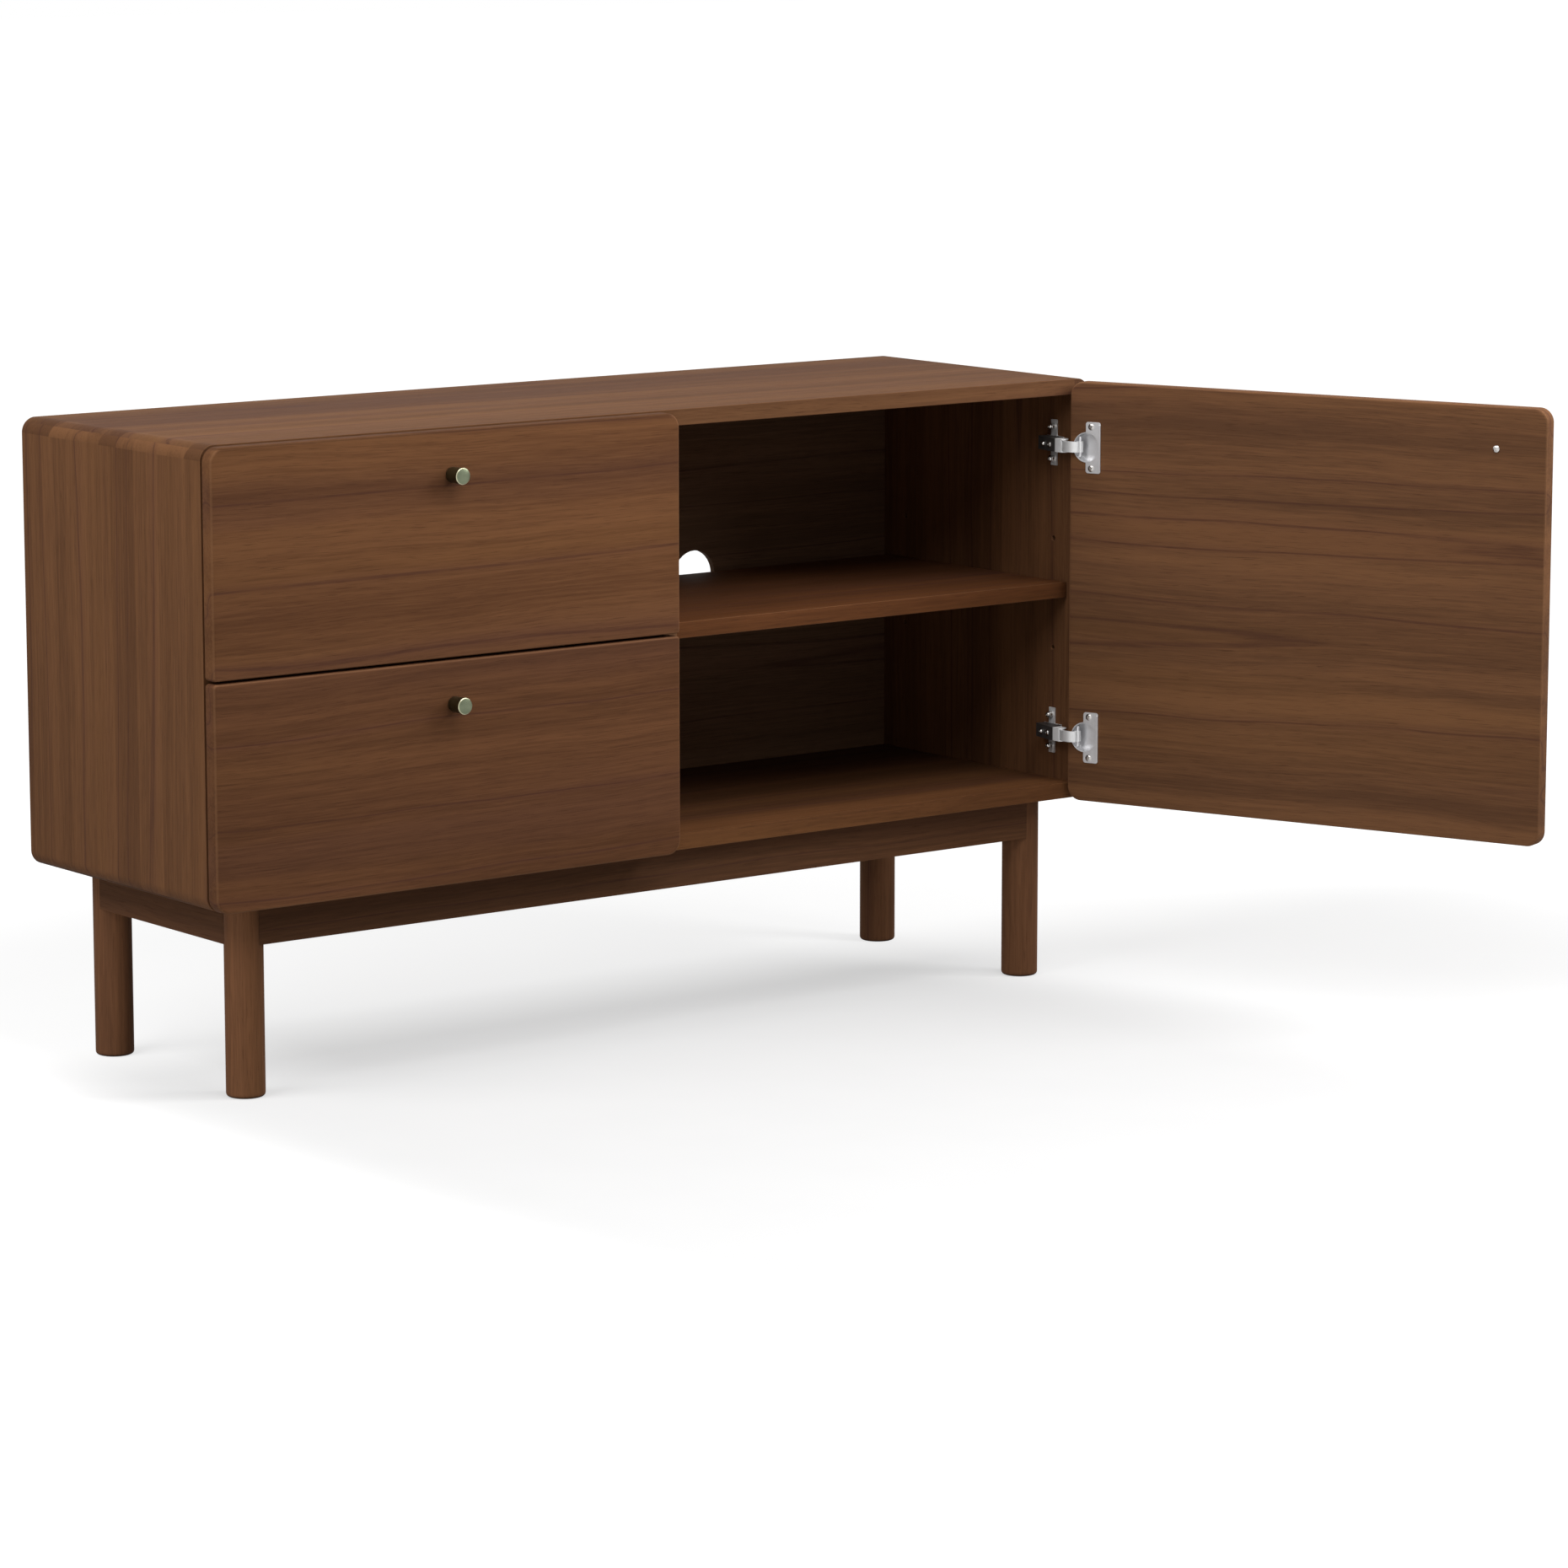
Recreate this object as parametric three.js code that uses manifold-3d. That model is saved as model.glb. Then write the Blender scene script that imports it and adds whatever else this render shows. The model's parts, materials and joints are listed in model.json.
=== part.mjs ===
// Office credenza: a rounded carcass on a leg frame, two drawers on the left, a hinged door on the right.
// Millimetres, +Z up, front faces -Y. The door is modelled fully open and both drawers shut.
import * as THREE from "three";
import { mergeVertices } from "three/addons/utils/BufferGeometryUtils.js";
import Module from "manifold-3d";

const wasm = await Module();
wasm.setup();

// Carcass
const WIDTH = 1200;
const CARCASS_DEPTH = 360;
const BODY_HEIGHT = 488;
const BOARD = 18;
const CORNER_RADIUS = 16;
const BACK_BOARD = 8;
const CABLE_HOLE_RADIUS = 30;
const CABLE_HOLE_RISE = 2;

// Leg frame
const LEG_HEIGHT = 209;
const LEG_RADIUS = 21;
const LEG_INSET_SIDE = 67;
const LEG_INSET_ENDS = 57;
const FOOT_ROUND = 4;
const RAIL_HEIGHT = 45;
const RAIL_BOARD = 22;
const RAIL_SINK = 1;

// Fronts
const FRONT_GAP = 2;
const REVEAL = 3;
const FRONT_TOP_DROP = 1.5;
const EDGE_ROUND = 2.5;
const SMALL_CORNER = 4;

// Knobs
const KNOB_RADIUS = 9;
const KNOB_NECK_RADIUS = 8.4;
const KNOB_LENGTH = 21;
const KNOB_DROP = 47;
const KNOB_FROM_EDGE = 61;

// Shelf
const SHELF_SETBACK = 14;
const SHELF_RISE = 7;
const SHELF_BACK_GAP = 12;
const SHELF_SIDE_GAP = 1;
const PIN_RADIUS = 2.5;
const PIN_LENGTH = 14;
const PIN_IN_PANEL = 7.6;
const PIN_ROW_INSET = 39;
const PIN_PITCH = 64;

// Drawers
const BOX_BOARD = 15;
const BOX_HEIGHT = 172;
const BOX_BACK_ROOM = 24;
const BOX_LENGTH = CARCASS_DEPTH - BACK_BOARD - BOX_BACK_ROOM;
const BOX_RISE = 22;
const BOX_BASE = 8;
const BASE_RISE = 10;
const GROOVE_DEPTH = 6;

// Telescopic runners
const RUNNER_SPACE = 13;
const RUNNER_HEIGHT = 45;
const RUNNER_SETBACK = 4;
const RUNNER_LENGTH = BOX_LENGTH - 2 * RUNNER_SETBACK;
const RUNNER_STEEL = 1.2;
const RUNNER_MID_HEIGHT = 35;
const RUNNER_MID_REACH = 5;
const RUNNER_DRAWER_HEIGHT = 28;

// Concealed hinges
const HINGE_INSET = 75;
const DOOR_OPEN = 110;
const LINK_TURN = 52;
const ARM_PIVOT_IN = 15.4;
const ARM_PIVOT_BACK = 4.1;
const CUP_PIVOT_IN = 12.1;
const CUP_PIVOT_DEEP = 2.7;
const LINK_BULGE = 8.8;
const LINK_STEEL = 3;
const LINK_WIDTH = 12.4;
const PIVOT_PIN = 1.8;
const EYE_RADIUS = 3.6;
const CUP_RADIUS = 17.5;
const CUP_CENTRE_IN = 22.5;
const CUP_DEPTH = 12.6;
const CUP_WALL = 1;
const FLANGE_HEIGHT = 59;
const FLANGE_WIDTH = 19.2;
const FLANGE_STEEL = 1.2;
const FLANGE_OFFSET = 8.6;
const FLANGE_CORNER = 3;
const LIP_WIDTH = 2.4;
const LIP_RISE = 0.8;
const ARM_WIDTH = 15.6;
const ARM_NOSE = 5.6;
const ARM_STEEL = 1.4;
const ARM_THICK = 12;
const ARM_LENGTH = 46;
const ARM_COVER_FRONT = 2;
const PLATE_STEEL = 2;
const PLATE_HEIGHT = 53;
const PLATE_WING = 10;
const PLATE_AT = 37;

// Named clearance between pieces that touch or fit into each other
const GAP = 0.3;

// Levels and lines that follow from the sizes above
const Z_BASE = LEG_HEIGHT;
const Z_TOP = LEG_HEIGHT + BODY_HEIGHT;
const Z_FLOOR_IN = Z_BASE + BOARD;
const Z_ROOF_IN = Z_TOP - BOARD;
const X_LEFT_IN = BOARD;
const X_RIGHT_IN = WIDTH - BOARD;
const X_MID = WIDTH / 2;
const X_PART_L = X_MID - BOARD / 2;
const X_PART_R = X_MID + BOARD / 2;
const Y_BACK_IN = CARCASS_DEPTH - BACK_BOARD - GAP;
const Z_FRONT_TOP = Z_TOP - FRONT_TOP_DROP;
const Z_SPLIT = (Z_BASE + Z_FRONT_TOP) / 2;
const Y_FRONT_IN = -FRONT_GAP;
const Y_FRONT = -FRONT_GAP - BOARD;
const X_DRAWER_END = X_MID - REVEAL / 2;
const X_DOOR_START = X_MID + REVEAL / 2;
const Z_SHELF_TOP = (Z_BASE + Z_TOP) / 2 + SHELF_RISE;
const Z_PIN = Z_SHELF_TOP - BOARD + PIN_RADIUS + GAP;

const group = new THREE.Group();
group.name = "office_credenza";

const walnut = { color: 0x6b4a31, roughness: 0.5, metalness: 0 };
const darkWood = { color: 0x3d2718, roughness: 0.6, metalness: 0 };
const boxWood = { color: 0xb08a5c, roughness: 0.6, metalness: 0 };
const nickel = { color: 0xc4c4c0, roughness: 0.25, metalness: 1 };
const steel = { color: 0x9a9c9e, roughness: 0.35, metalness: 1 };
const champagne = { color: 0x8f8a6c, roughness: 0.35, metalness: 1 };

// Turns a closed geometry into a solid that can be joined or cut
function solid(geometry) {
  const bare = geometry.index ? geometry.toNonIndexed() : geometry.clone();
  bare.deleteAttribute("normal");
  bare.deleteAttribute("uv");
  const merged = mergeVertices(bare, 1e-4);
  return new wasm.Manifold(
    new wasm.Mesh({
      numProp: 3,
      vertProperties: new Float32Array(merged.attributes.position.array),
      triVerts: new Uint32Array(merged.index.array),
    }),
  );
}

// Turns a solid back into a geometry
function geometryOf(body) {
  const mesh = body.getMesh();
  const geometry = new THREE.BufferGeometry();
  geometry.setAttribute("position", new THREE.BufferAttribute(new Float32Array(mesh.vertProperties), 3));
  geometry.setIndex(new THREE.BufferAttribute(new Uint32Array(mesh.triVerts), 1));
  return geometry;
}

function cut(geometry, ...tools) {
  return geometryOf(tools.reduce((body, tool) => body.subtract(solid(tool)), solid(geometry)));
}

function join(...geometries) {
  return geometryOf(geometries.map(solid).reduce((body, more) => body.add(more)));
}

function box(x0, x1, y0, y1, z0, z1) {
  const geometry = new THREE.BoxGeometry(x1 - x0, y1 - y0, z1 - z0);
  return geometry.translate((x0 + x1) / 2, (y0 + y1) / 2, (z0 + z1) / 2);
}

// Extrudes a shape drawn in X and Z along Y
function alongY(shape, y0, y1, options = {}) {
  const geometry = new THREE.ExtrudeGeometry(shape, { depth: y1 - y0, bevelEnabled: false, ...options });
  return geometry.rotateX(Math.PI / 2).translate(0, y1, 0);
}

// Extrudes a shape drawn in X and Y along Z
function alongZ(shape, z0, z1, curveSegments = 12) {
  const geometry = new THREE.ExtrudeGeometry(shape, { depth: z1 - z0, bevelEnabled: false, curveSegments });
  return geometry.translate(0, 0, z0);
}

function rodZ(x, y, z0, z1, radius, segments) {
  const geometry = new THREE.CylinderGeometry(radius, radius, z1 - z0, segments);
  return geometry.rotateX(Math.PI / 2).translate(x, y, (z0 + z1) / 2);
}

function rodX(x0, x1, y, z, radius, segments) {
  const geometry = new THREE.CylinderGeometry(radius, radius, x1 - x0, segments);
  return geometry.rotateZ(Math.PI / 2).translate((x0 + x1) / 2, y, z);
}

function rodY(x, y0, y1, z, radius, segments) {
  const geometry = new THREE.CylinderGeometry(radius, radius, y1 - y0, segments);
  return geometry.translate(x, (y0 + y1) / 2, z);
}

function add(name, geometry, finish) {
  const mesh = new THREE.Mesh(geometry, new THREE.MeshStandardMaterial(finish));
  mesh.name = name;
  group.add(mesh);
}

// A rectangle in X and Z whose four corner radii are given from bottom left, anticlockwise
function roundedPanel(x0, x1, z0, z1, [bl, br, tr, tl]) {
  const shape = new THREE.Shape();
  shape.moveTo(x0 + bl, z0);
  shape.lineTo(x1 - br, z0);
  shape.absarc(x1 - br, z0 + br, br, -Math.PI / 2, 0, false);
  shape.lineTo(x1, z1 - tr);
  shape.absarc(x1 - tr, z1 - tr, tr, 0, Math.PI / 2, false);
  shape.lineTo(x0 + tl, z1);
  shape.absarc(x0 + tl, z1 - tl, tl, Math.PI / 2, Math.PI, false);
  shape.lineTo(x0, z0 + bl);
  shape.absarc(x0 + bl, z0 + bl, bl, Math.PI, Math.PI * 1.5, false);
  return shape;
}

// A front board with softened edges
function frontBoard(x0, x1, z0, z1, corners) {
  return alongY(roundedPanel(x0, x1, z0, z1, corners), Y_FRONT + EDGE_ROUND, Y_FRONT_IN - EDGE_ROUND, {
    bevelEnabled: true,
    bevelSize: EDGE_ROUND,
    bevelOffset: -EDGE_ROUND,
    bevelThickness: EDGE_ROUND,
    bevelSegments: 2,
    curveSegments: 5,
  });
}

// One carcass board between two mitres, drawn as if it were the bottom board of the given length
function mitredBoard(length) {
  const shape = new THREE.Shape();
  const slack = GAP / Math.SQRT2;
  const r = CORNER_RADIUS;
  const start = Math.PI * 1.25;
  shape.moveTo(r + r * Math.cos(start) + slack, r + r * Math.sin(start));
  shape.absarc(r + slack, r, r, start, Math.PI * 1.5, false);
  shape.lineTo(length - r - slack, 0);
  shape.absarc(length - r - slack, r, r, Math.PI * 1.5, Math.PI * 1.75, false);
  shape.lineTo(length - BOARD - slack, BOARD);
  shape.lineTo(BOARD + slack, BOARD);
  shape.closePath();
  return alongY(shape, 0, CARCASS_DEPTH, { curveSegments: 5 });
}

// Carcass
function buildCarcass() {
  const bottom = mitredBoard(WIDTH).translate(0, 0, Z_BASE);
  const top = mitredBoard(WIDTH).rotateY(Math.PI).translate(WIDTH, 0, Z_TOP);
  const left = mitredBoard(BODY_HEIGHT).rotateY(Math.PI / 2).translate(0, 0, Z_TOP);
  const right = mitredBoard(BODY_HEIGHT).rotateY(-Math.PI / 2).translate(WIDTH, 0, Z_BASE);
  const rows = [PIN_ROW_INSET, Y_BACK_IN - PIN_ROW_INSET];
  const levels = [Z_PIN - PIN_PITCH, Z_PIN, Z_PIN + PIN_PITCH];
  const holes = (x0, x1) =>
    rows.flatMap((y) => levels.map((z) => rodX(x0, x1, y, z, PIN_RADIUS + GAP, 10)));
  const sink = PIN_IN_PANEL + GAP;
  add("top_panel", top, walnut);
  add("bottom_panel", bottom, walnut);
  add("left_side_panel", left, walnut);
  add("right_side_panel", cut(right, ...holes(X_RIGHT_IN - 1, X_RIGHT_IN + sink)), walnut);

  const partition = box(X_PART_L, X_PART_R, 0, Y_BACK_IN - GAP, Z_FLOOR_IN + GAP, Z_ROOF_IN - GAP);
  add("centre_partition", cut(partition, ...holes(X_PART_R - sink, X_PART_R + 1)), darkWood);

  const square = [1, 1, 1, 1];
  const back = roundedPanel(X_LEFT_IN + GAP, X_RIGHT_IN - GAP, Z_FLOOR_IN + GAP, Z_ROOF_IN - GAP, square);
  const hole = new THREE.Path();
  const xHole = (X_PART_R + X_RIGHT_IN) / 2;
  const zHole = (Z_BASE + Z_TOP) / 2 + CABLE_HOLE_RISE;
  hole.absarc(xHole, zHole, CABLE_HOLE_RADIUS, 0, Math.PI * 2, true);
  back.holes.push(hole);
  const rim = { curveSegments: 16 };
  add("back_panel", alongY(back, Y_BACK_IN, CARCASS_DEPTH - GAP, rim), darkWood);

  const x0 = X_PART_R + SHELF_SIDE_GAP;
  const x1 = X_RIGHT_IN - SHELF_SIDE_GAP;
  const reach = PIN_LENGTH - PIN_IN_PANEL + GAP;
  const notch = PIN_RADIUS + GAP;
  const notches = rows.flatMap((y) =>
    [[x0 - 1, X_PART_R + reach], [X_RIGHT_IN - reach, x1 + 1]].map(([a, b]) =>
      box(a, b, y - notch, y + notch, Z_PIN - PIN_RADIUS - 2, Z_PIN + notch),
    ),
  );
  const board = box(x0, x1, SHELF_SETBACK, Y_BACK_IN - SHELF_BACK_GAP, Z_SHELF_TOP - BOARD, Z_SHELF_TOP);
  add("shelf", cut(board, ...notches), walnut);

  const out = PIN_LENGTH - PIN_IN_PANEL;
  [["front", rows[0]], ["back", rows[1]]].forEach(([place, y]) => {
    const inner = rodX(X_PART_R - PIN_IN_PANEL, X_PART_R + out, y, Z_PIN, PIN_RADIUS, 10);
    const outer = rodX(X_RIGHT_IN - out, X_RIGHT_IN + PIN_IN_PANEL, y, Z_PIN, PIN_RADIUS, 10);
    add(`shelf_pin_left_${place}`, inner, nickel);
    add(`shelf_pin_right_${place}`, outer, nickel);
  });
}

// Leg frame: four round legs and four rails whose ends are scooped to sit against them
function buildLegFrame() {
  const yFront = Y_FRONT + LEG_INSET_ENDS;
  const yBack = CARCASS_DEPTH - LEG_INSET_ENDS;
  const xs = { left: LEG_INSET_SIDE, right: WIDTH - LEG_INSET_SIDE };
  const ys = { front: yFront, back: yBack };
  const legTop = Z_BASE - GAP;
  const profile = [new THREE.Vector2(0, 0), new THREE.Vector2(LEG_RADIUS - FOOT_ROUND, 0)];
  [30, 60, 90].forEach((deg) => {
    const a = THREE.MathUtils.degToRad(deg);
    const r = LEG_RADIUS - FOOT_ROUND + FOOT_ROUND * Math.sin(a);
    profile.push(new THREE.Vector2(r, FOOT_ROUND - FOOT_ROUND * Math.cos(a)));
  });
  profile.push(new THREE.Vector2(LEG_RADIUS, legTop), new THREE.Vector2(0, legTop));
  const scoops = [];
  Object.entries(xs).forEach(([side, x]) =>
    Object.entries(ys).forEach(([end, y]) => {
      const leg = new THREE.LatheGeometry(profile, 32).rotateX(Math.PI / 2).translate(x, y, 0);
      add(`leg_${end}_${side}`, leg, walnut);
      scoops.push(rodZ(x, y, 0, Z_BASE + 1, LEG_RADIUS + GAP, 32));
    }),
  );
  const z0 = Z_BASE - RAIL_HEIGHT;
  const face = LEG_RADIUS - RAIL_SINK;
  const alongX = (y0) => box(xs.left, xs.right, y0, y0 + RAIL_BOARD, z0, legTop);
  const acrossY = (x0) => box(x0, x0 + RAIL_BOARD, yFront, yBack, z0, legTop);
  add("rail_front", cut(alongX(yFront - face), ...scoops), walnut);
  add("rail_back", cut(alongX(yBack + face - RAIL_BOARD), ...scoops), walnut);
  add("rail_left", cut(acrossY(xs.left - face), ...scoops), walnut);
  add("rail_right", cut(acrossY(xs.right + face - RAIL_BOARD), ...scoops), walnut);
}

// A turned knob standing on a front board, growing slightly towards its end
function knobAt(x, z) {
  const profile = [
    new THREE.Vector2(0, GAP),
    new THREE.Vector2(KNOB_NECK_RADIUS, GAP),
    new THREE.Vector2(KNOB_RADIUS, KNOB_LENGTH - 1),
    new THREE.Vector2(KNOB_RADIUS - 0.8, KNOB_LENGTH),
    new THREE.Vector2(0, KNOB_LENGTH),
  ];
  return new THREE.LatheGeometry(profile, 24).rotateX(Math.PI).translate(x, Y_FRONT, z);
}

// One channel of a runner: a web against x0, with flanges of the given reach, and lips on the widest one
function runnerChannel(x0, toward, height, reach, lip) {
  const h = height / 2;
  const s = RUNNER_STEEL;
  const hook = [[reach, -h + lip], [reach - s, -h + lip], [reach - s, -h + s]];
  const edge = lip > s ? hook : [[reach, -h + s]];
  const lower = [[0, -h], [reach, -h], ...edge, [s, -h + s]];
  const upper = lower.slice().reverse().map(([x, z]) => [x, -z]);
  const shape = new THREE.Shape();
  [...lower, ...upper].forEach(([x, z], i) => {
    const px = x0 + toward * x;
    if (i === 0) shape.moveTo(px, z);
    else shape.lineTo(px, z);
  });
  shape.closePath();
  return shape;
}

// Three telescoping members on one side of a drawer
function buildRunner(name, xWall, toward, z) {
  const place = (x0, dir, height, reach, lip, y0, length) =>
    alongY(runnerChannel(x0, dir, height, reach, lip), y0, y0 + length).translate(0, 0, z);
  const s = RUNNER_STEEL;
  const y0 = RUNNER_SETBACK;
  const xMid = xWall + toward * (GAP + 2 * s + GAP);
  const xBox = xWall + toward * (RUNNER_SPACE - GAP);
  const xWeb = xWall + toward * GAP;
  const lip = (RUNNER_HEIGHT - RUNNER_MID_HEIGHT) / 2 - GAP;
  const wide = RUNNER_MID_REACH + 2 * s + GAP + s + GAP;
  const deep = RUNNER_SPACE - 4 * GAP - 3 * s;
  const cabinet = place(xWeb, toward, RUNNER_HEIGHT, wide, lip, y0, RUNNER_LENGTH);
  const middle = place(xMid, toward, RUNNER_MID_HEIGHT, RUNNER_MID_REACH, s, y0 + 2, RUNNER_LENGTH - 4);
  const drawer = place(xBox, -toward, RUNNER_DRAWER_HEIGHT, deep, s, y0, RUNNER_LENGTH);
  add(`${name}_cabinet_member`, cabinet, steel);
  add(`${name}_middle_member`, middle, steel);
  add(`${name}_drawer_member`, drawer, steel);
}

// One drawer: a front board with its knob, a grooved box and two runners
function buildDrawer(name, z0, z1, corners) {
  const zBox = z0 + BOX_RISE + BOARD * (z0 < Z_SPLIT ? 1 : 0);
  const zTop = zBox + BOX_HEIGHT;
  const x0 = X_LEFT_IN + RUNNER_SPACE;
  const x1 = X_PART_L - RUNNER_SPACE;
  const yStart = Y_FRONT_IN + GAP;
  const yEnd = yStart + BOX_LENGTH;
  const zBase = zBox + BASE_RISE;
  const xIn0 = x0 + BOX_BOARD;
  const xIn1 = x1 - BOX_BOARD;
  const groove = box(
    xIn0 - GROOVE_DEPTH,
    xIn1 + GROOVE_DEPTH,
    yStart + BOX_BOARD - GROOVE_DEPTH,
    yEnd + 1,
    zBase - GAP,
    zBase + BOX_BASE + GAP,
  );
  add(`${name}_front`, frontBoard(0, X_DRAWER_END, z0, z1, corners), walnut);
  add(`${name}_knob`, knobAt(X_DRAWER_END / 2, z1 - KNOB_DROP), champagne);
  add(`${name}_box_left`, cut(box(x0, xIn0 - GAP, yStart, yEnd, zBox, zTop), groove), boxWood);
  add(`${name}_box_right`, cut(box(xIn1 + GAP, x1, yStart, yEnd, zBox, zTop), groove), boxWood);
  add(`${name}_box_front`, cut(box(xIn0, xIn1, yStart, yStart + BOX_BOARD, zBox, zTop), groove), boxWood);
  const zRear = zBase + BOX_BASE + 2 * GAP;
  add(`${name}_box_back`, box(xIn0, xIn1, yEnd - BOX_BOARD, yEnd, zRear, zTop), boxWood);
  const slip = GROOVE_DEPTH - GAP;
  const yBase = yStart + BOX_BOARD - slip;
  add(`${name}_box_base`, box(xIn0 - slip, xIn1 + slip, yBase, yEnd, zBase, zBase + BOX_BASE), boxWood);
  const zRunner = zBox + BOX_HEIGHT / 2;
  buildRunner(`${name}_left_runner`, X_LEFT_IN, 1, zRunner);
  buildRunner(`${name}_right_runner`, X_PART_L, -1, zRunner);
}

// The door turns on links: it is drawn shut, then carried to its open place by the linkage below
const armPivot = new THREE.Vector2(X_RIGHT_IN - ARM_PIVOT_IN, ARM_PIVOT_BACK);
const shutPivot = new THREE.Vector2(WIDTH - CUP_PIVOT_IN, Y_FRONT_IN - CUP_PIVOT_DEEP);
const openPivot = shutPivot.clone().rotateAround(armPivot, -THREE.MathUtils.degToRad(LINK_TURN));
const swing = new THREE.Matrix4()
  .makeTranslation(openPivot.x, openPivot.y, 0)
  .multiply(new THREE.Matrix4().makeRotationZ(THREE.MathUtils.degToRad(DOOR_OPEN)))
  .multiply(new THREE.Matrix4().makeTranslation(-shutPivot.x, -shutPivot.y, 0));

// Hinge cup let into the door, with its flange on the inner face and the pivot pin across its mouth
function hingeCup(z) {
  const x = WIDTH - CUP_CENTRE_IN;
  const shell = rodY(x, Y_FRONT_IN - CUP_DEPTH, Y_FRONT_IN + FLANGE_STEEL, z, CUP_RADIUS, 32);
  const xf = x - FLANGE_OFFSET;
  const half = FLANGE_WIDTH / 2;
  const zf = FLANGE_HEIGHT / 2;
  const r = FLANGE_CORNER;
  const outline = roundedPanel(xf - half, xf + half, z - zf, z + zf, [r, r, r, r]);
  const yTop = Y_FRONT_IN + FLANGE_STEEL;
  const flange = alongY(outline, Y_FRONT_IN + GAP, yTop, { curveSegments: 4 });
  const lip = box(xf - half, xf - half + LIP_WIDTH, yTop - GAP, yTop + LIP_RISE, z - zf + r, z + zf - r);
  const bore = rodY(x, Y_FRONT_IN - CUP_DEPTH + CUP_WALL, Y_FRONT_IN + 5, z, CUP_RADIUS - CUP_WALL, 32);
  const reach = CUP_CENTRE_IN - CUP_PIVOT_IN + PIVOT_PIN;
  const span = Math.sqrt((CUP_RADIUS - CUP_WALL / 2) ** 2 - reach ** 2);
  const pin = rodZ(shutPivot.x, shutPivot.y, z - span, z + span, PIVOT_PIN, 12);
  return join(cut(join(shell, flange, lip), bore), pin);
}

// Goose-neck link between the arm and the cup, with an eye round each pivot pin
function hingeLink(z) {
  const along = openPivot.clone().sub(armPivot);
  const length = along.length();
  along.normalize();
  const side = new THREE.Vector2(along.y, -along.x);
  const at = (share, bulge) =>
    new THREE.Vector3(
      armPivot.x + along.x * share * length + side.x * bulge,
      armPivot.y + along.y * share * length + side.y * bulge,
      0,
    );
  const b = LINK_BULGE;
  const stations = [at(0, 0), at(0.24, 0.72 * b), at(0.62, b), at(0.96, 0.77 * b), at(1, 0)];
  const path = new THREE.CatmullRomCurve3(stations);
  const points = path.getPoints(14);
  const offset = (sign) =>
    points.map((p, i) => {
      const t = path.getTangent(i / 14);
      return new THREE.Vector2(p.x - (sign * t.y * LINK_STEEL) / 2, p.y + (sign * t.x * LINK_STEEL) / 2);
    });
  const strip = new THREE.Shape([...offset(-1), ...offset(1).reverse()]);
  const z0 = z - LINK_WIDTH / 2;
  const z1 = z + LINK_WIDTH / 2;
  const ends = [armPivot, openPivot];
  const eyes = ends.map((p) => rodZ(p.x, p.y, z0, z1, EYE_RADIUS, 20));
  const bores = ends.map((p) => rodZ(p.x, p.y, z0 - 1, z1 + 1, PIVOT_PIN + GAP, 12));
  return cut(join(alongZ(strip, z0, z1), ...eyes), ...bores);
}

// Hinge arm: a pressed channel on the mounting plate; its two cheeks carry the fixed pivot pin
function hingeArm(z) {
  const x0 = X_RIGHT_IN - PLATE_STEEL - 2 * GAP;
  const yEnd = ARM_PIVOT_BACK + ARM_LENGTH;
  const shape = new THREE.Shape();
  shape.moveTo(x0, yEnd);
  shape.lineTo(x0 - ARM_THICK, yEnd);
  shape.lineTo(armPivot.x - ARM_NOSE, armPivot.y + 12);
  shape.lineTo(armPivot.x - ARM_NOSE, armPivot.y);
  shape.absarc(armPivot.x, armPivot.y, ARM_NOSE, Math.PI, Math.PI * 2, false);
  shape.lineTo(armPivot.x + ARM_NOSE, armPivot.y + 5);
  shape.lineTo(x0, armPivot.y + 16);
  shape.closePath();
  const w = ARM_WIDTH / 2;
  const outer = alongZ(shape, z - w, z + w, 5);
  const wIn = w - ARM_STEEL;
  const hollow = alongZ(shape, z - wIn, z + wIn, 5).translate(ARM_STEEL, -ARM_STEEL, 0);
  const yCover = armPivot.y - ARM_COVER_FRONT;
  const mouth = box(armPivot.x - 2 * ARM_NOSE, X_RIGHT_IN, yCover - 2 * ARM_NOSE, yCover, z - wIn, z + wIn);
  const pin = rodZ(armPivot.x, armPivot.y, z - w + ARM_STEEL / 2, z + w - ARM_STEEL / 2, PIVOT_PIN, 12);
  return join(cut(outer, hollow, mouth), pin);
}

// Winged mounting plate on the inner face of the side board
function hingePlate(z) {
  const x0 = X_RIGHT_IN - GAP - PLATE_STEEL;
  const x1 = X_RIGHT_IN - GAP;
  const h = PLATE_HEIGHT / 2;
  const w = ARM_WIDTH / 2;
  const wing = box(x0, x1, PLATE_AT - PLATE_WING / 2, PLATE_AT + PLATE_WING / 2, z - h, z + h);
  const spine = box(x0, x1, PLATE_AT - 16, ARM_PIVOT_BACK + ARM_LENGTH, z - w, z + w);
  return join(wing, spine);
}

function buildDoor() {
  const levels = { upper: Z_FRONT_TOP - HINGE_INSET, lower: Z_BASE + HINGE_INSET };
  const r = CORNER_RADIUS;
  const sockets = Object.values(levels).map((z) =>
    rodY(WIDTH - CUP_CENTRE_IN, Y_FRONT_IN - CUP_DEPTH - GAP, Y_FRONT_IN + 1, z, CUP_RADIUS + GAP, 32),
  );
  const panel = cut(frontBoard(X_DOOR_START, WIDTH, Z_BASE, Z_FRONT_TOP, [r, r, r, r]), ...sockets);
  const knob = knobAt(X_DOOR_START + KNOB_FROM_EDGE, Z_FRONT_TOP - KNOB_DROP);
  add("door_panel", panel.applyMatrix4(swing), walnut);
  add("door_knob", knob.applyMatrix4(swing), champagne);
  Object.entries(levels).forEach(([name, z]) => {
    add(`hinge_${name}_cup`, hingeCup(z).applyMatrix4(swing), nickel);
    add(`hinge_${name}_link`, hingeLink(z), nickel);
    add(`hinge_${name}_arm`, hingeArm(z), nickel);
    add(`hinge_${name}_plate`, hingePlate(z), nickel);
  });
}

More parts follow.
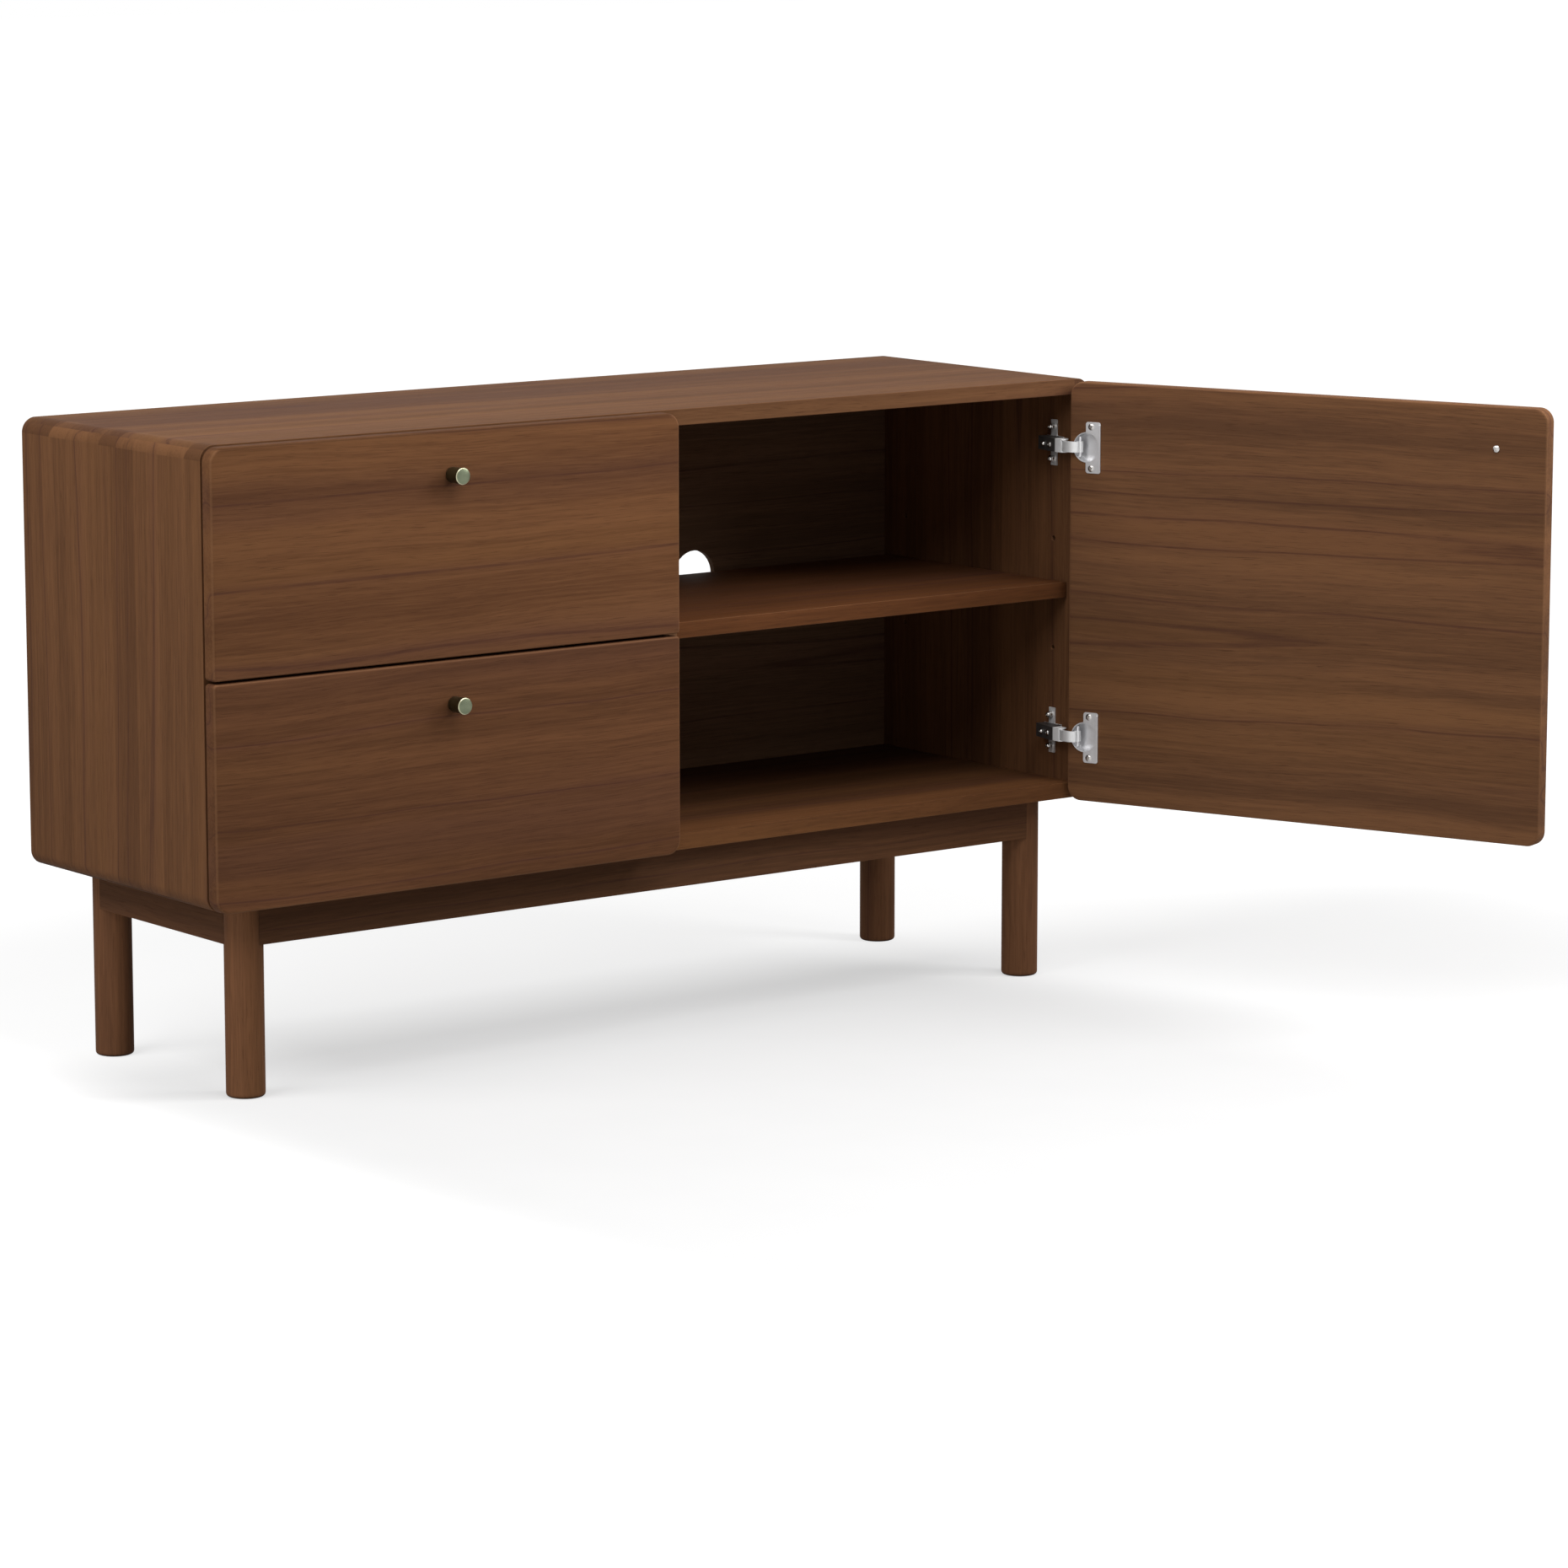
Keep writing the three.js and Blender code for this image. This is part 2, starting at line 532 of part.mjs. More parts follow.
buildCarcass();
buildLegFrame();
const c = SMALL_CORNER;
const R = CORNER_RADIUS;
buildDrawer("upper_drawer", Z_SPLIT + REVEAL / 2, Z_FRONT_TOP, [c, c, R, R]);
buildDrawer("lower_drawer", Z_BASE, Z_SPLIT - REVEAL / 2, [R, R, c, c]);
buildDoor();

// The part's frame stands at the middle of its footprint on the floor
const bounds = new THREE.Box3().setFromObject(group, true);
const middle = bounds.getCenter(new THREE.Vector3());
group.children.forEach((mesh) => mesh.geometry.translate(-middle.x, -middle.y, -bounds.min.z));

export default group;
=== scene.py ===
# %% [markdown]
# # Office credenza
# A low walnut cabinet on a turned leg frame: two drawers on the left, a cupboard with one
# shelf behind a door on the right. The packed solids are the fixed frame of the lesson.
# Every board, leg, knob and hinge below is dressed in its place, in metres, with the
# front towards -Y. Nothing is fitted by eye, because the solids already say where it is.

import json
import math

import bmesh
import bpy
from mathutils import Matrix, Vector


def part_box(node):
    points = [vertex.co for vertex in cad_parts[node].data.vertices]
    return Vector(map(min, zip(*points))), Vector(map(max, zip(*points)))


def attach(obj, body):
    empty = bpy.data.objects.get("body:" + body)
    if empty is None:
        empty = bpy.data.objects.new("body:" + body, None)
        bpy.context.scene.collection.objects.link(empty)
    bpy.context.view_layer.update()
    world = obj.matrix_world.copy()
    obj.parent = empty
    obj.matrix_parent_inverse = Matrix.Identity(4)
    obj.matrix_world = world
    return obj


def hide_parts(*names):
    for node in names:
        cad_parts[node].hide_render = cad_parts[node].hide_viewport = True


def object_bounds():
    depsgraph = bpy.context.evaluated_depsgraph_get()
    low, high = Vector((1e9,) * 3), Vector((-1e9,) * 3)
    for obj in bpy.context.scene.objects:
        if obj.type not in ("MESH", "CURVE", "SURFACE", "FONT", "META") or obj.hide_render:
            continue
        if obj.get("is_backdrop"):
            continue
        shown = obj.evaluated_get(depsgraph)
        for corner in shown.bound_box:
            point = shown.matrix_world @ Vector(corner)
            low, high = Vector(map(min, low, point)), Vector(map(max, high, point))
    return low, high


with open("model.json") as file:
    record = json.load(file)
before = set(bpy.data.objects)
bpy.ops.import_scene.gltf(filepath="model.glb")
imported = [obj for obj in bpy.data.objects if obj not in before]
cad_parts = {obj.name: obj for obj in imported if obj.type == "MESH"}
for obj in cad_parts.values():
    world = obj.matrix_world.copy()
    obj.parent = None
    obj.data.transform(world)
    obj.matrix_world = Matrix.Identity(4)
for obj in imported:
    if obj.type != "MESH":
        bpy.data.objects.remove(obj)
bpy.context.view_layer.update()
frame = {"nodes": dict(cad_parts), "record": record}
BODY_OF = {
    node: body
    for body, nodes in frame["record"]["behaviour"]["bodies"].items()
    for node in nodes
}


def rounded(values):
    return [round(v, 4) for v in values]


# %% [markdown]
# ## Writing nodes as sums
# A finish is a small calculation: bands plus fibres minus pores. Drawn as a node graph it
# soon becomes a tangle. Here a socket is wrapped in a class that understands +, -, * and
# the rest, so that a finish reads like the sum that it is. Each operation adds one node.
# The shapes that Geometry Nodes make further down are written with the same class.

# %% A signal
class Signal:
    """A socket that can be used in ordinary arithmetic."""

    def __init__(self, tree, socket):
        self.tree = tree
        self.socket = socket

    def _math(self, operation, first, second=0.0):
        return self.tree.signal(
            "ShaderNodeMath", {"operation": operation}, {0: first, 1: second}
        )

    def __add__(self, other):
        return self._math("ADD", self, other)

    __radd__ = __add__

    def __sub__(self, other):
        return self._math("SUBTRACT", self, other)

    def __rsub__(self, other):
        return self._math("SUBTRACT", other, self)

    def __mul__(self, other):
        return self._math("MULTIPLY", self, other)

    __rmul__ = __mul__

    def __truediv__(self, other):
        return self._math("DIVIDE", self, other)

    def __rtruediv__(self, other):
        return self._math("DIVIDE", other, self)

    def __pow__(self, other):
        return self._math("POWER", self, other)

    def __rpow__(self, other):
        return self._math("POWER", other, self)

    def __abs__(self):
        return self._math("ABSOLUTE", self)

    def floor(self):
        return self._math("FLOOR", self)

    def root(self):
        return self._math("SQRT", self)

    def at_least(self, low):
        return self._math("MAXIMUM", self, low)

    def above(self, limit):
        return self._math("GREATER_THAN", self, limit)

    def between(self, low, high):
        """0 below low, 1 above high and a smooth rise between; low may be the larger."""
        return self.tree.signal(
            "ShaderNodeMapRange",
            {"interpolation_type": "SMOOTHSTEP"},
            {"Value": self, "From Min": low, "From Max": high},
            "Result",
        )


print("signal operations:", [n for n, made in vars(Signal).items() if callable(made)])


# %% A tree of nodes
class NodeTree:
    """A node tree that grows by one method: a node's type, its settings, its sockets."""

    def __init__(self, tree):
        self.tree = tree

    def feed(self, socket, value):
        """Links a signal or another socket, or sets a plain value."""
        if isinstance(value, Signal):
            value = value.socket
        if isinstance(value, bpy.types.NodeSocket):
            self.tree.links.new(value, socket)
        else:
            socket.default_value = value

    def node(self, kind, settings, sockets):
        made = self.tree.nodes.new(kind)
        for key, value in settings.items():
            setattr(made, key, value)
        for key, value in sockets.items():
            self.feed(made.inputs[key], value)
        return made

    def signal(self, kind, settings, sockets, output=0):
        """One output of a new node, ready for arithmetic."""
        return Signal(self, self.node(kind, settings, sockets).outputs[output])

    def vector(self, x, y, z):
        return self.node("ShaderNodeCombineXYZ", {}, {0: x, 1: y, 2: z}).outputs[0]


print("ways to grow a tree:", [n for n in vars(NodeTree) if not n.startswith("_")])


# %% A tree with a shader
class ShaderTree(NodeTree):
    """The tree of a material or of the room, with one shader to feed."""

    def __init__(self, owner, shader):
        owner.use_nodes = True
        super().__init__(owner.node_tree)
        self.shader = self.tree.nodes[shader]

    def place(self, turn=0.0):
        """x, y and z of a point on the piece, in metres, turned about the upright axis."""
        where = self.node("ShaderNodeTexCoord", {}, {}).outputs["Object"]
        if turn:
            turned = {"Vector": where, "Rotation": (0.0, 0.0, turn)}
            where = self.node("ShaderNodeMapping", {}, turned).outputs[0]
        parts = self.node("ShaderNodeSeparateXYZ", {}, {0: where})
        return [Signal(self, s) for s in parts.outputs]

    def noise(self, spot, detail=2.0, harsh=0.5):
        """A cloudy pattern from 0 to 1, with one blotch or so for each unit of the spot."""
        return self.signal(
            "ShaderNodeTexNoise",
            {"noise_dimensions": "3D"},
            {"Vector": self.vector(*spot), "Scale": 1.0, "Detail": detail, "Roughness": harsh},
            "Fac",
        )

    def tint(self, strip):
        """A chance value from -0.5 to 0.5, one for each whole number."""
        settings = {"noise_dimensions": "1D"}
        return self.signal("ShaderNodeTexWhiteNoise", settings, {"W": strip}, "Value") - 0.5

    def edge_band(self):
        """1 on the eased edges that the mesh marks, 0 elsewhere."""
        return self.signal("ShaderNodeAttribute", {"attribute_name": "arris"}, {}, "Fac")

    def mix(self, factor, first, second):
        """Two colours mixed; a Mix node for colours has them on its sockets 6 and 7."""
        made = self.node(
            "ShaderNodeMix", {"data_type": "RGBA"}, {0: factor, 6: first, 7: second}
        )
        return made.outputs[2]

    def bump(self, height, distance, strength):
        made = self.node(
            "ShaderNodeBump",
            {},
            {"Height": height, "Distance": distance, "Strength": strength},
        )
        return made.outputs["Normal"]

    def white_to_the_eye(self):
        """1 for the rays of the camera, of reflections and through glass, 0 for the rest."""
        rays = self.node("ShaderNodeLightPath", {}, {})
        kinds = ("Camera", "Glossy", "Transmission")
        seen = sum(Signal(self, rays.outputs[f"Is {kind} Ray"]) for kind in kinds)
        return seen.between(0.0, 1.0)

    def shade(self, **sockets):
        for key, value in sockets.items():
            self.feed(self.shader.inputs[key.replace("_", " ")], value)


print("ways to feed a shader:", [n for n in vars(ShaderTree) if not n.startswith("_")])


# %% A finish and its colours
class Finish(ShaderTree):
    """A material made of nodes."""

    def __init__(self, name):
        self.material = bpy.data.materials.new(name)
        super().__init__(self.material, "Principled BSDF")

    def shade(self, **sockets):
        super().shade(**sockets)
        return self.material


def colour(red, green, blue):
    """A colour as read from a paint card, 0 to 255, in the linear units of the shader."""
    parts = [c / 255 for c in (red, green, blue)]
    line = [c / 12.92 if c < 0.04045 else ((c + 0.055) / 1.055) ** 2.4 for c in parts]
    return (*line, 1.0)


BLACK, WHITE = colour(0, 0, 0), colour(255, 255, 255)
print("middle grey in linear units:", rounded(colour(128, 128, 128)))


# %% [markdown]
# ## Walnut
# The boards are walnut with a satin clear coat. Walnut shows broad slow bands, a few
# darker purplish lines that wander with the grain, fine fibres and short pores. A scan of
# a board would repeat and stretch. Noise doesn't, and all of the grain is long in one
# direction, so each pattern is a noise squeezed across the grain. The direction is named
# by the order of the axes: along, across, through.

# %% The grain of walnut
# How often a pattern repeats in a metre along the grain and across it, its octaves, their
# strength, and a shift that keeps two slow patterns apart.
GRAIN = {
    "bands": (0.6, 24, 3.0, 0.52, 0.0),
    "lines": (2.2, 150, 3.0, 0.6, 0.0),
    "streaks": (13, 330, 2.0, 0.6, 0.0),
    "fibre": (9, 900, 2.0, 0.5, 0.0),
    "pores": (34, 1500, 1.0, 0.5, 0.0),
    "vein": (0.3, 13, 1.5, 0.5, 0.0),
    "heart": (0.35, 11, 2.0, 0.45, 7.3),
}
SLOW_RUN, SLOW_REPEAT, SLOW_DETAIL = 1.1, 2.6, 3.0
CLOUD_RUN, CLOUD_REPEAT = 3, 5
WANDER, WANDER_DEEP = 0.05, 0.02
SEED_ALONG, SEED_ACROSS = 3.7, 1.3


def walnut_grain(f, seed, along, across, through):
    """The patterns of one board; the seed says where in the log it was cut."""
    along = along + seed * SEED_ALONG
    across = across + seed * SEED_ACROSS
    slow_spot = (along * SLOW_RUN, across * SLOW_REPEAT, through * SLOW_REPEAT)
    slow = f.noise(slow_spot, SLOW_DETAIL) - 0.5
    drift = across + slow * WANDER
    deep = through + slow * WANDER_DEEP
    grain = {"across": across}
    for pattern, (run, repeat, detail, harsh, shift) in GRAIN.items():
        spot = (along * run, drift * repeat + shift, deep * repeat)
        grain[pattern] = f.noise(spot, detail, harsh)
    cloud_spot = (along * CLOUD_RUN, across * CLOUD_REPEAT, through * CLOUD_REPEAT)
    grain["cloud"] = f.noise(cloud_spot)
    return grain


print("grain patterns:", list(GRAIN))

# %% [markdown]
# ### Colour of the walnut
# The wood runs between a light and a dark shade. Over these lie the heartwood, the veins
# and the pores. The colours are mixed in the order in which the eye meets them, the broad
# ones first, so each can be tuned alone. The share of each is small, because walnut is
# quiet from a few steps away.

# %% Colour and figure
SHADE_WEIGHTS = {"lines": 0.65, "fibre": 0.35, "streaks": 0.85, "cloud": 0.3}
# The tone of each layer, and how much of it shows.
FIGURE = {
    "dark heart": ((80, 52, 43), 0.3),
    "pale heart": ((126, 86, 50), 0.22),
    "vein glow": ((80, 48, 42), 0.25),
    "vein line": ((62, 36, 32), 0.5),
    "pore": ((58, 36, 24), 0.34),
}


def walnut_shade(grain, figure):
    """0 for the dark shade, 1 for the light one; the figure is the strength of the bands."""
    shade = 0.5 + (grain["bands"] - 0.5) * figure
    for pattern, weight in SHADE_WEIGHTS.items():
        shade = shade + (grain[pattern] - 0.5) * weight
    return shade


def figured(f, wood, grain, pore):
    """Heartwood, veins and pores laid over the plain shade."""
    vein_edge = abs(grain["vein"] - 0.5)
    masks = {
        "dark heart": grain["heart"].between(0.5, 0.72),
        "pale heart": grain["heart"].between(0.46, 0.28),
        "vein glow": vein_edge.between(0.06, 0.0) * grain["bands"].between(0.3, 0.7),
        "vein line": vein_edge.between(0.010, 0.002) * grain["streaks"].between(0.25, 0.6),
        "pore": pore,
    }
    for layer, (tone, share) in FIGURE.items():
        wood = f.mix(masks[layer] * share, wood, colour(*tone))
    return wood


print("layers of the figure:", list(FIGURE))

# %% [markdown]
# ### Staves, lipping, wear, painted highlight and painted shade
# Wide sides are glued up from staves, each with its own shade. The rounded top corners
# are faced with short blocks, which show as patches of another shade, a little aslant.
# The eased edges are paler, partly as wear from handling and partly as a painted highlight.
# The top edge of the upper front is painted darker instead, as painted shade against the light
# on its round. Inside the cupboard the shelf and the bottom are painted darker behind their
# front edges, as painted shade. The feet are darkened towards the floor, as painted contact
# shade and dirt. A mask on the place of the point does each of these, so one finish serves
# every board.

# %% Masks by place
# Where the painted shade inside the cupboard begins and where it is full, back from the front
# of the top
INSIDE_SHADE_START, INSIDE_SHADE_FULL = 0.0164, 0.0954
# The height over which the foot darkens, as painted contact shade and dirt
FOOT_SHADE_AND_SOIL = (0.0036, 0.0006)
CORNER_ROUND = 0.016
LIPPING_STAVE, LIPPING_SLANT, LIPPING_TINT = 0.034, 0.35, 1.3
JOINT_BLUR = 0.0004
top_low, top_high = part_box("top_panel")
INSIDE_SHADE_DEPTH = (top_low.y + INSIDE_SHADE_START, top_low.y + INSIDE_SHADE_FULL)
MIDDLE_X = (top_low.x + top_high.x) / 2
LIPPING_EDGE = top_high.x - MIDDLE_X - CORNER_ROUND
LIPPING_BASE = top_high.z - CORNER_ROUND
LIPPING_X = (LIPPING_EDGE - JOINT_BLUR, LIPPING_EDGE + JOINT_BLUR)
LIPPING_Z = (LIPPING_BASE - JOINT_BLUR, LIPPING_BASE + JOINT_BLUR)
FRONT_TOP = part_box("upper_drawer_front")[1].z
TOP_EDGE = (FRONT_TOP - 0.0028, FRONT_TOP - 0.0018)


def lipping(f, x, y, z):
    """The change of shade on the blocks of the rounded top corners."""
    corner = abs(x - MIDDLE_X).between(*LIPPING_X) * z.between(*LIPPING_Z)
    slant = y + (z - LIPPING_Z[0]) * LIPPING_SLANT
    strip = (slant / LIPPING_STAVE).floor()
    return corner * f.tint(strip + 0.5) * LIPPING_TINT


print("lipping from x", round(LIPPING_EDGE, 4), "off the middle, z", round(LIPPING_BASE, 4))

# %% The walnut finish
SATIN, SHEEN_LEVEL = 0.72, 0.07
PORE = (0.60, 0.70)
RELIEF_DEPTH = 0.00012
STAVE_TINT = 0.5
# Paler eased edges: partly wear, partly painted highlight
WEAR_AND_HIGHLIGHT_WOOD, WEAR_AND_HIGHLIGHT_SHARE = (152, 110, 78), 0.6
# The painted shade on the top edge of the upper front
PAINTED_TOP_EDGE_SHADE, PAINTED_TOP_EDGE_SHADE_SHARE = (62, 38, 22), 0.5
# The colour of the painted contact shade and dirt at the feet
FOOT_SHADE_AND_DIRT, FOOT_SHADE_AND_DIRT_SHARE = (24, 15, 10), 0.8
# The colour of the painted shade inside the cupboard
PAINTED_INSIDE_SHADE = (28, 15, 7)


def walnut(
    name, order, seed, light, dark, *, figure=1.5, turn=0.0, stave=0.0, darkening=0.0,
    lipped=False, foot=False, top_edge=False,
):
    f = Finish(name)
    x, y, z = f.place(turn)
    axes = {"x": x, "y": y, "z": z}
    grain = walnut_grain(f, seed, *(axes[a] for a in order))
    cloud, fibre = grain["cloud"], grain["fibre"]
    pore = grain["pores"].between(*PORE)
    shade = walnut_shade(grain, figure)
    if stave:
        strip = (grain["across"] / stave).floor()
        shade = shade + f.tint(strip + seed) * STAVE_TINT
    if lipped:
        shade = shade + lipping(f, x, y, z)
    wood = f.mix(shade.between(0.0, 1.0), colour(*dark), colour(*light))
    wood = figured(f, wood, grain, pore)
    # paler edges, partly wear and partly painted highlight
    edge_band = f.edge_band() * (0.25 + 0.5 * cloud)
    # painted shade along the upper front's top edge, which also takes the paler edge away
    # there
    if top_edge:
        top_edge_shade = z.between(*TOP_EDGE)
        edge_band = edge_band * (1 - top_edge_shade)
        wood = f.mix(top_edge_shade * PAINTED_TOP_EDGE_SHADE_SHARE, wood, colour(*PAINTED_TOP_EDGE_SHADE))
    wood = f.mix(edge_band * WEAR_AND_HIGHLIGHT_SHARE, wood, colour(*WEAR_AND_HIGHLIGHT_WOOD))
    # painted shade: the inside of the cupboard is darker behind the front edges
    if darkening:
        wood = f.mix(y.between(*INSIDE_SHADE_DEPTH) * darkening, wood, colour(*PAINTED_INSIDE_SHADE))
    # painted contact shade and dirt, darker towards the floor
    if foot:
        wood = f.mix(z.between(*FOOT_SHADE_AND_SOIL) * FOOT_SHADE_AND_DIRT_SHARE, wood, colour(*FOOT_SHADE_AND_DIRT))
    relief = fibre * 0.5 + grain["streaks"] * 0.4 - pore * 0.8
    return f.shade(
        Base_Color=wood,
        Roughness=SATIN + (fibre - 0.5) * 0.10 + (cloud - 0.5) * 0.08 + pore * 0.08,
        Specular_IOR_Level=SHEEN_LEVEL,
        Normal=f.bump(relief, RELIEF_DEPTH, 0.5),
    )


print("satin roughness:", SATIN, "relief:", round(RELIEF_DEPTH * 1000, 2), "mm")

# %% [markdown]
# ### One walnut for each kind of board
# A maker picks boards by eye: the top and the sides from one log, the legs a little paler. The
# inside is painted paler still, as painted light, since little light reaches it. Each kind has
# its own grain direction, seed and pair of shades. The door stands open, so its grain is
# turned by the angle of the door.

# %% The boards' finishes
DOOR_OPEN = math.radians(110)
# The upper front has painted shade along its top edge
FRONT_WALNUT = walnut(
    "walnut_front", "xzy", 1, (118, 79, 50), (91, 58, 36), figure=1.7, top_edge=True
)
# The lower front is the upper front's walnut painted a shade darker, as painted shade
LOWER_FRONT_SHADED_WALNUT = walnut(
    "walnut_lower_front", "xzy", 1, (111, 73, 47), (85, 54, 34), figure=1.7
)
DOOR_WALNUT = walnut(
    "walnut_door", "xzy", 5, (122, 84, 56), (93, 63, 43), figure=2.0, turn=math.pi - DOOR_OPEN
)
TOP_WALNUT = walnut(
    "walnut_top", "xyz", 2, (112, 77, 51), (89, 59, 39), figure=1.8, lipped=True
)
SIDE_WALNUT = walnut(
    "walnut_side", "zyx", 3, (123, 84, 55), (95, 63, 41), stave=0.047, lipped=True
)
# The shelf and the bottom carry painted shade inside the cupboard
SHELF_WALNUT = walnut("walnut_shelf", "xyz", 4, (102, 62, 35), (78, 46, 25), darkening=0.12)
BOTTOM_WALNUT = walnut("walnut_bottom", "xyz", 10, (112, 72, 43), (87, 55, 32), darkening=0.47)
# Painted light: the boards inside the cupboard are paler, since little light reaches them
LIGHTENED_INNER_WALNUT = walnut("walnut_inside", "xzy", 6, (126, 95, 71), (98, 73, 54))
LIGHTENED_PARTITION_WALNUT = walnut("walnut_partition", "zyx", 11, (120, 86, 60), (94, 66, 46))
# The legs' feet carry painted contact shade and dirt
LEG_WALNUT = walnut("walnut_leg", "zyx", 7, (109, 73, 49), (84, 55, 36), foot=True)
# The long rails are painted a shade darker, as painted shade under the carcass
RAIL_X_SHADED_WALNUT = walnut("walnut_rail_long", "xzy", 8, (106, 71, 47), (80, 53, 35))
RAIL_Y_WALNUT = walnut("walnut_rail_short", "yzx", 9, (118, 80, 54), (92, 61, 41))
walnuts = [m.name for m in bpy.data.materials if m.name.startswith("walnut_")]
print("walnut finishes:", len(walnuts))


# %% [markdown]
# ## Drawer-box wood
# The drawer boxes are not seen with the drawers shut. Boxes of this kind are pale, straight
# grained wood with a thin lacquer. The same band and fibre idea is used, without the veins.

# %% The drawer-box finish
BOX_SLOW_RUN, BOX_SLOW_REPEAT, BOX_WANDER = 1.5, 4, 0.02
BOX_BAND_RUN, BOX_BAND_REPEAT = 0.8, 70
BOX_FIBRE_RUN, BOX_FIBRE_REPEAT = 12, 1000
BOX_SEED_ALONG = 2.1
BOX_DARK, BOX_LIGHT, BOX_WORN = (176, 136, 96), (208, 172, 128), (222, 192, 152)
BOX_RELIEF_DEPTH = 0.0001


def box_wood(name, order, seed):
    f = Finish(name)
    axes = dict(zip("xyz", f.place()))
    along, across, through = (axes[a] for a in order)
    along = along + seed * BOX_SEED_ALONG
    slow_spot = (along * BOX_SLOW_RUN, across * BOX_SLOW_REPEAT, through * BOX_SLOW_REPEAT)
    drift = across + (f.noise(slow_spot) - 0.5) * BOX_WANDER
    band_spot = (along * BOX_BAND_RUN, drift * BOX_BAND_REPEAT, through * BOX_BAND_REPEAT)
    bands = f.noise(band_spot, 3.0, 0.55)
    fibre_spot = (along * BOX_FIBRE_RUN, drift * BOX_FIBRE_REPEAT, through * BOX_FIBRE_REPEAT)
    fibre = f.noise(fibre_spot)
    shade = 0.5 + (bands - 0.5) * 1.2 + (fibre - 0.5) * 0.4
    wood = f.mix(shade.between(0.0, 1.0), colour(*BOX_DARK), colour(*BOX_LIGHT))
    wood = f.mix(f.edge_band() * 0.3, wood, colour(*BOX_WORN))
    return f.shade(
        Base_Color=wood,
        Roughness=0.5 + (fibre - 0.5) * 0.15,
        Normal=f.bump(fibre, BOX_RELIEF_DEPTH, 0.4),
    )


BOX_LONG = box_wood("box_wood_sides", "yzx", 1)
BOX_CROSS = box_wood("box_wood_ends", "xzy", 2)
BOX_BASE = box_wood("box_wood_base", "xyz", 3)
print("drawer-box finishes:", BOX_LONG.name, BOX_CROSS.name, BOX_BASE.name)


# %% [markdown]
# ## Plated metals
# The hinges are bright nickel plate, smooth but not a mirror. The link and the nose of the arm
# are polished paler, and the arm is painted darker inside the cupboard, as painted shade. The
# runners are zinc-plated steel, drawn through a die, so fine lines run along them. Plain metal
# would look like plastic, so the tone clouds a little, with a few small marks.

# %% The plated finishes
PLATE_CLOUD, PLATE_MARK = 60, 300
DRAWN_RUN, DRAWN_REPEAT = 25, 900
MARK_RISE = (0.58, 0.72)
EDGE_BRIGHTER = 22
PLATE_RELIEF_DEPTH = 0.00003
# Painted shade on the hinge arm inside the cupboard, where it begins and where it is full
PAINTED_ARM_SHADE = (56, 52, 50)
ARM_SHADE_START, ARM_SHADE_FULL = 0.0119, 0.0139
ARM_SHADE_DEPTH = (top_low.y + ARM_SHADE_START, top_low.y + ARM_SHADE_FULL)


def plated(name, tone, darkening, rough, lines, *, metallic=1.0, shaded_inside=False):
    f = Finish(name)
    x, y, z = f.place()
    cloud = f.noise((y * PLATE_CLOUD, x * PLATE_CLOUD, z * PLATE_CLOUD), 3.0)
    drawn = f.noise((y * DRAWN_RUN, x * DRAWN_REPEAT, z * DRAWN_REPEAT))
    mark = f.noise((y * PLATE_MARK, x * PLATE_MARK, z * PLATE_MARK)).between(*MARK_RISE)
    stained = cloud.between(0.3, 0.75) * 0.6 + mark * 0.15
    metal = f.mix(stained, colour(*tone), colour(*darkening))
    bright = (min(255, c + EDGE_BRIGHTER) for c in tone)
    metal = f.mix(f.edge_band() * 0.6, metal, colour(*bright))
    # painted shade on the arm inside the cupboard
    if shaded_inside:
        metal = f.mix(y.between(*ARM_SHADE_DEPTH), metal, colour(*PAINTED_ARM_SHADE))
    return f.shade(
        Base_Color=metal,
        Metallic=metallic,
        Roughness=rough + (drawn - 0.5) * lines + (cloud - 0.5) * 0.10 + mark * 0.05,
        Normal=f.bump(drawn + mark * 0.3, PLATE_RELIEF_DEPTH, 0.35),
    )


NICKEL = plated(
    "bright_nickel_plate", (226, 226, 228), (200, 199, 200), 0.38, 0.06, metallic=0.75
)
LINK_NICKEL = plated(
    "hinge_link_nickel", (238, 238, 238), (222, 222, 222), 0.42, 0.06, metallic=0.35
)
ARM_NICKEL = plated(
    "hinge_arm_nickel", (246, 246, 246), (234, 234, 234), 0.5, 0.06, metallic=0.2, shaded_inside=True
)
STEEL = plated("zinc_runner_steel", (184, 186, 188), (150, 152, 156), 0.34, 0.16)
SCREW_STEEL = plated("screw_nickel", (200, 197, 194), (150, 146, 142), 0.26, 0.05)
DARK_STEEL = plated("browned_screw_steel", (112, 96, 78), (84, 70, 56), 0.4, 0.05)
print("metal finishes:", NICKEL.name, STEEL.name, SCREW_STEEL.name, DARK_STEEL.name)


# %% [markdown]
# ## Easing the boards
# No maker leaves a sharp arris. A Bevel modifier could ease the edges, but it can't mark them
# for wear and a painted highlight. So each board is a merged copy of its solid with its flat
# triangles joined, its sharp edges eased in mesh code, and smooth shading over the curves. The
# attribute that the finishes read for wear and for painted highlights is set on the eased
# band. The mitred corners of the carcass are glued, so their faces are pushed together and
# left unbevelled.

# %% Merging and easing
MERGE_CLOSE = 2e-6
FLAT_ANGLE = math.radians(0.4)
ARRIS_ANGLE = math.radians(38)
EASE_SEGMENTS = 2
MITRE_AREA = 0.002
MITRE_CLOSE = 0.00014


def mitred(face):
    """True on the large slanting end of a carcass board."""
    slant = abs(face.normal.x) > 0.6 and abs(face.normal.z) > 0.6
    return slant and abs(face.normal.y) < 0.1 and face.calc_area() > MITRE_AREA


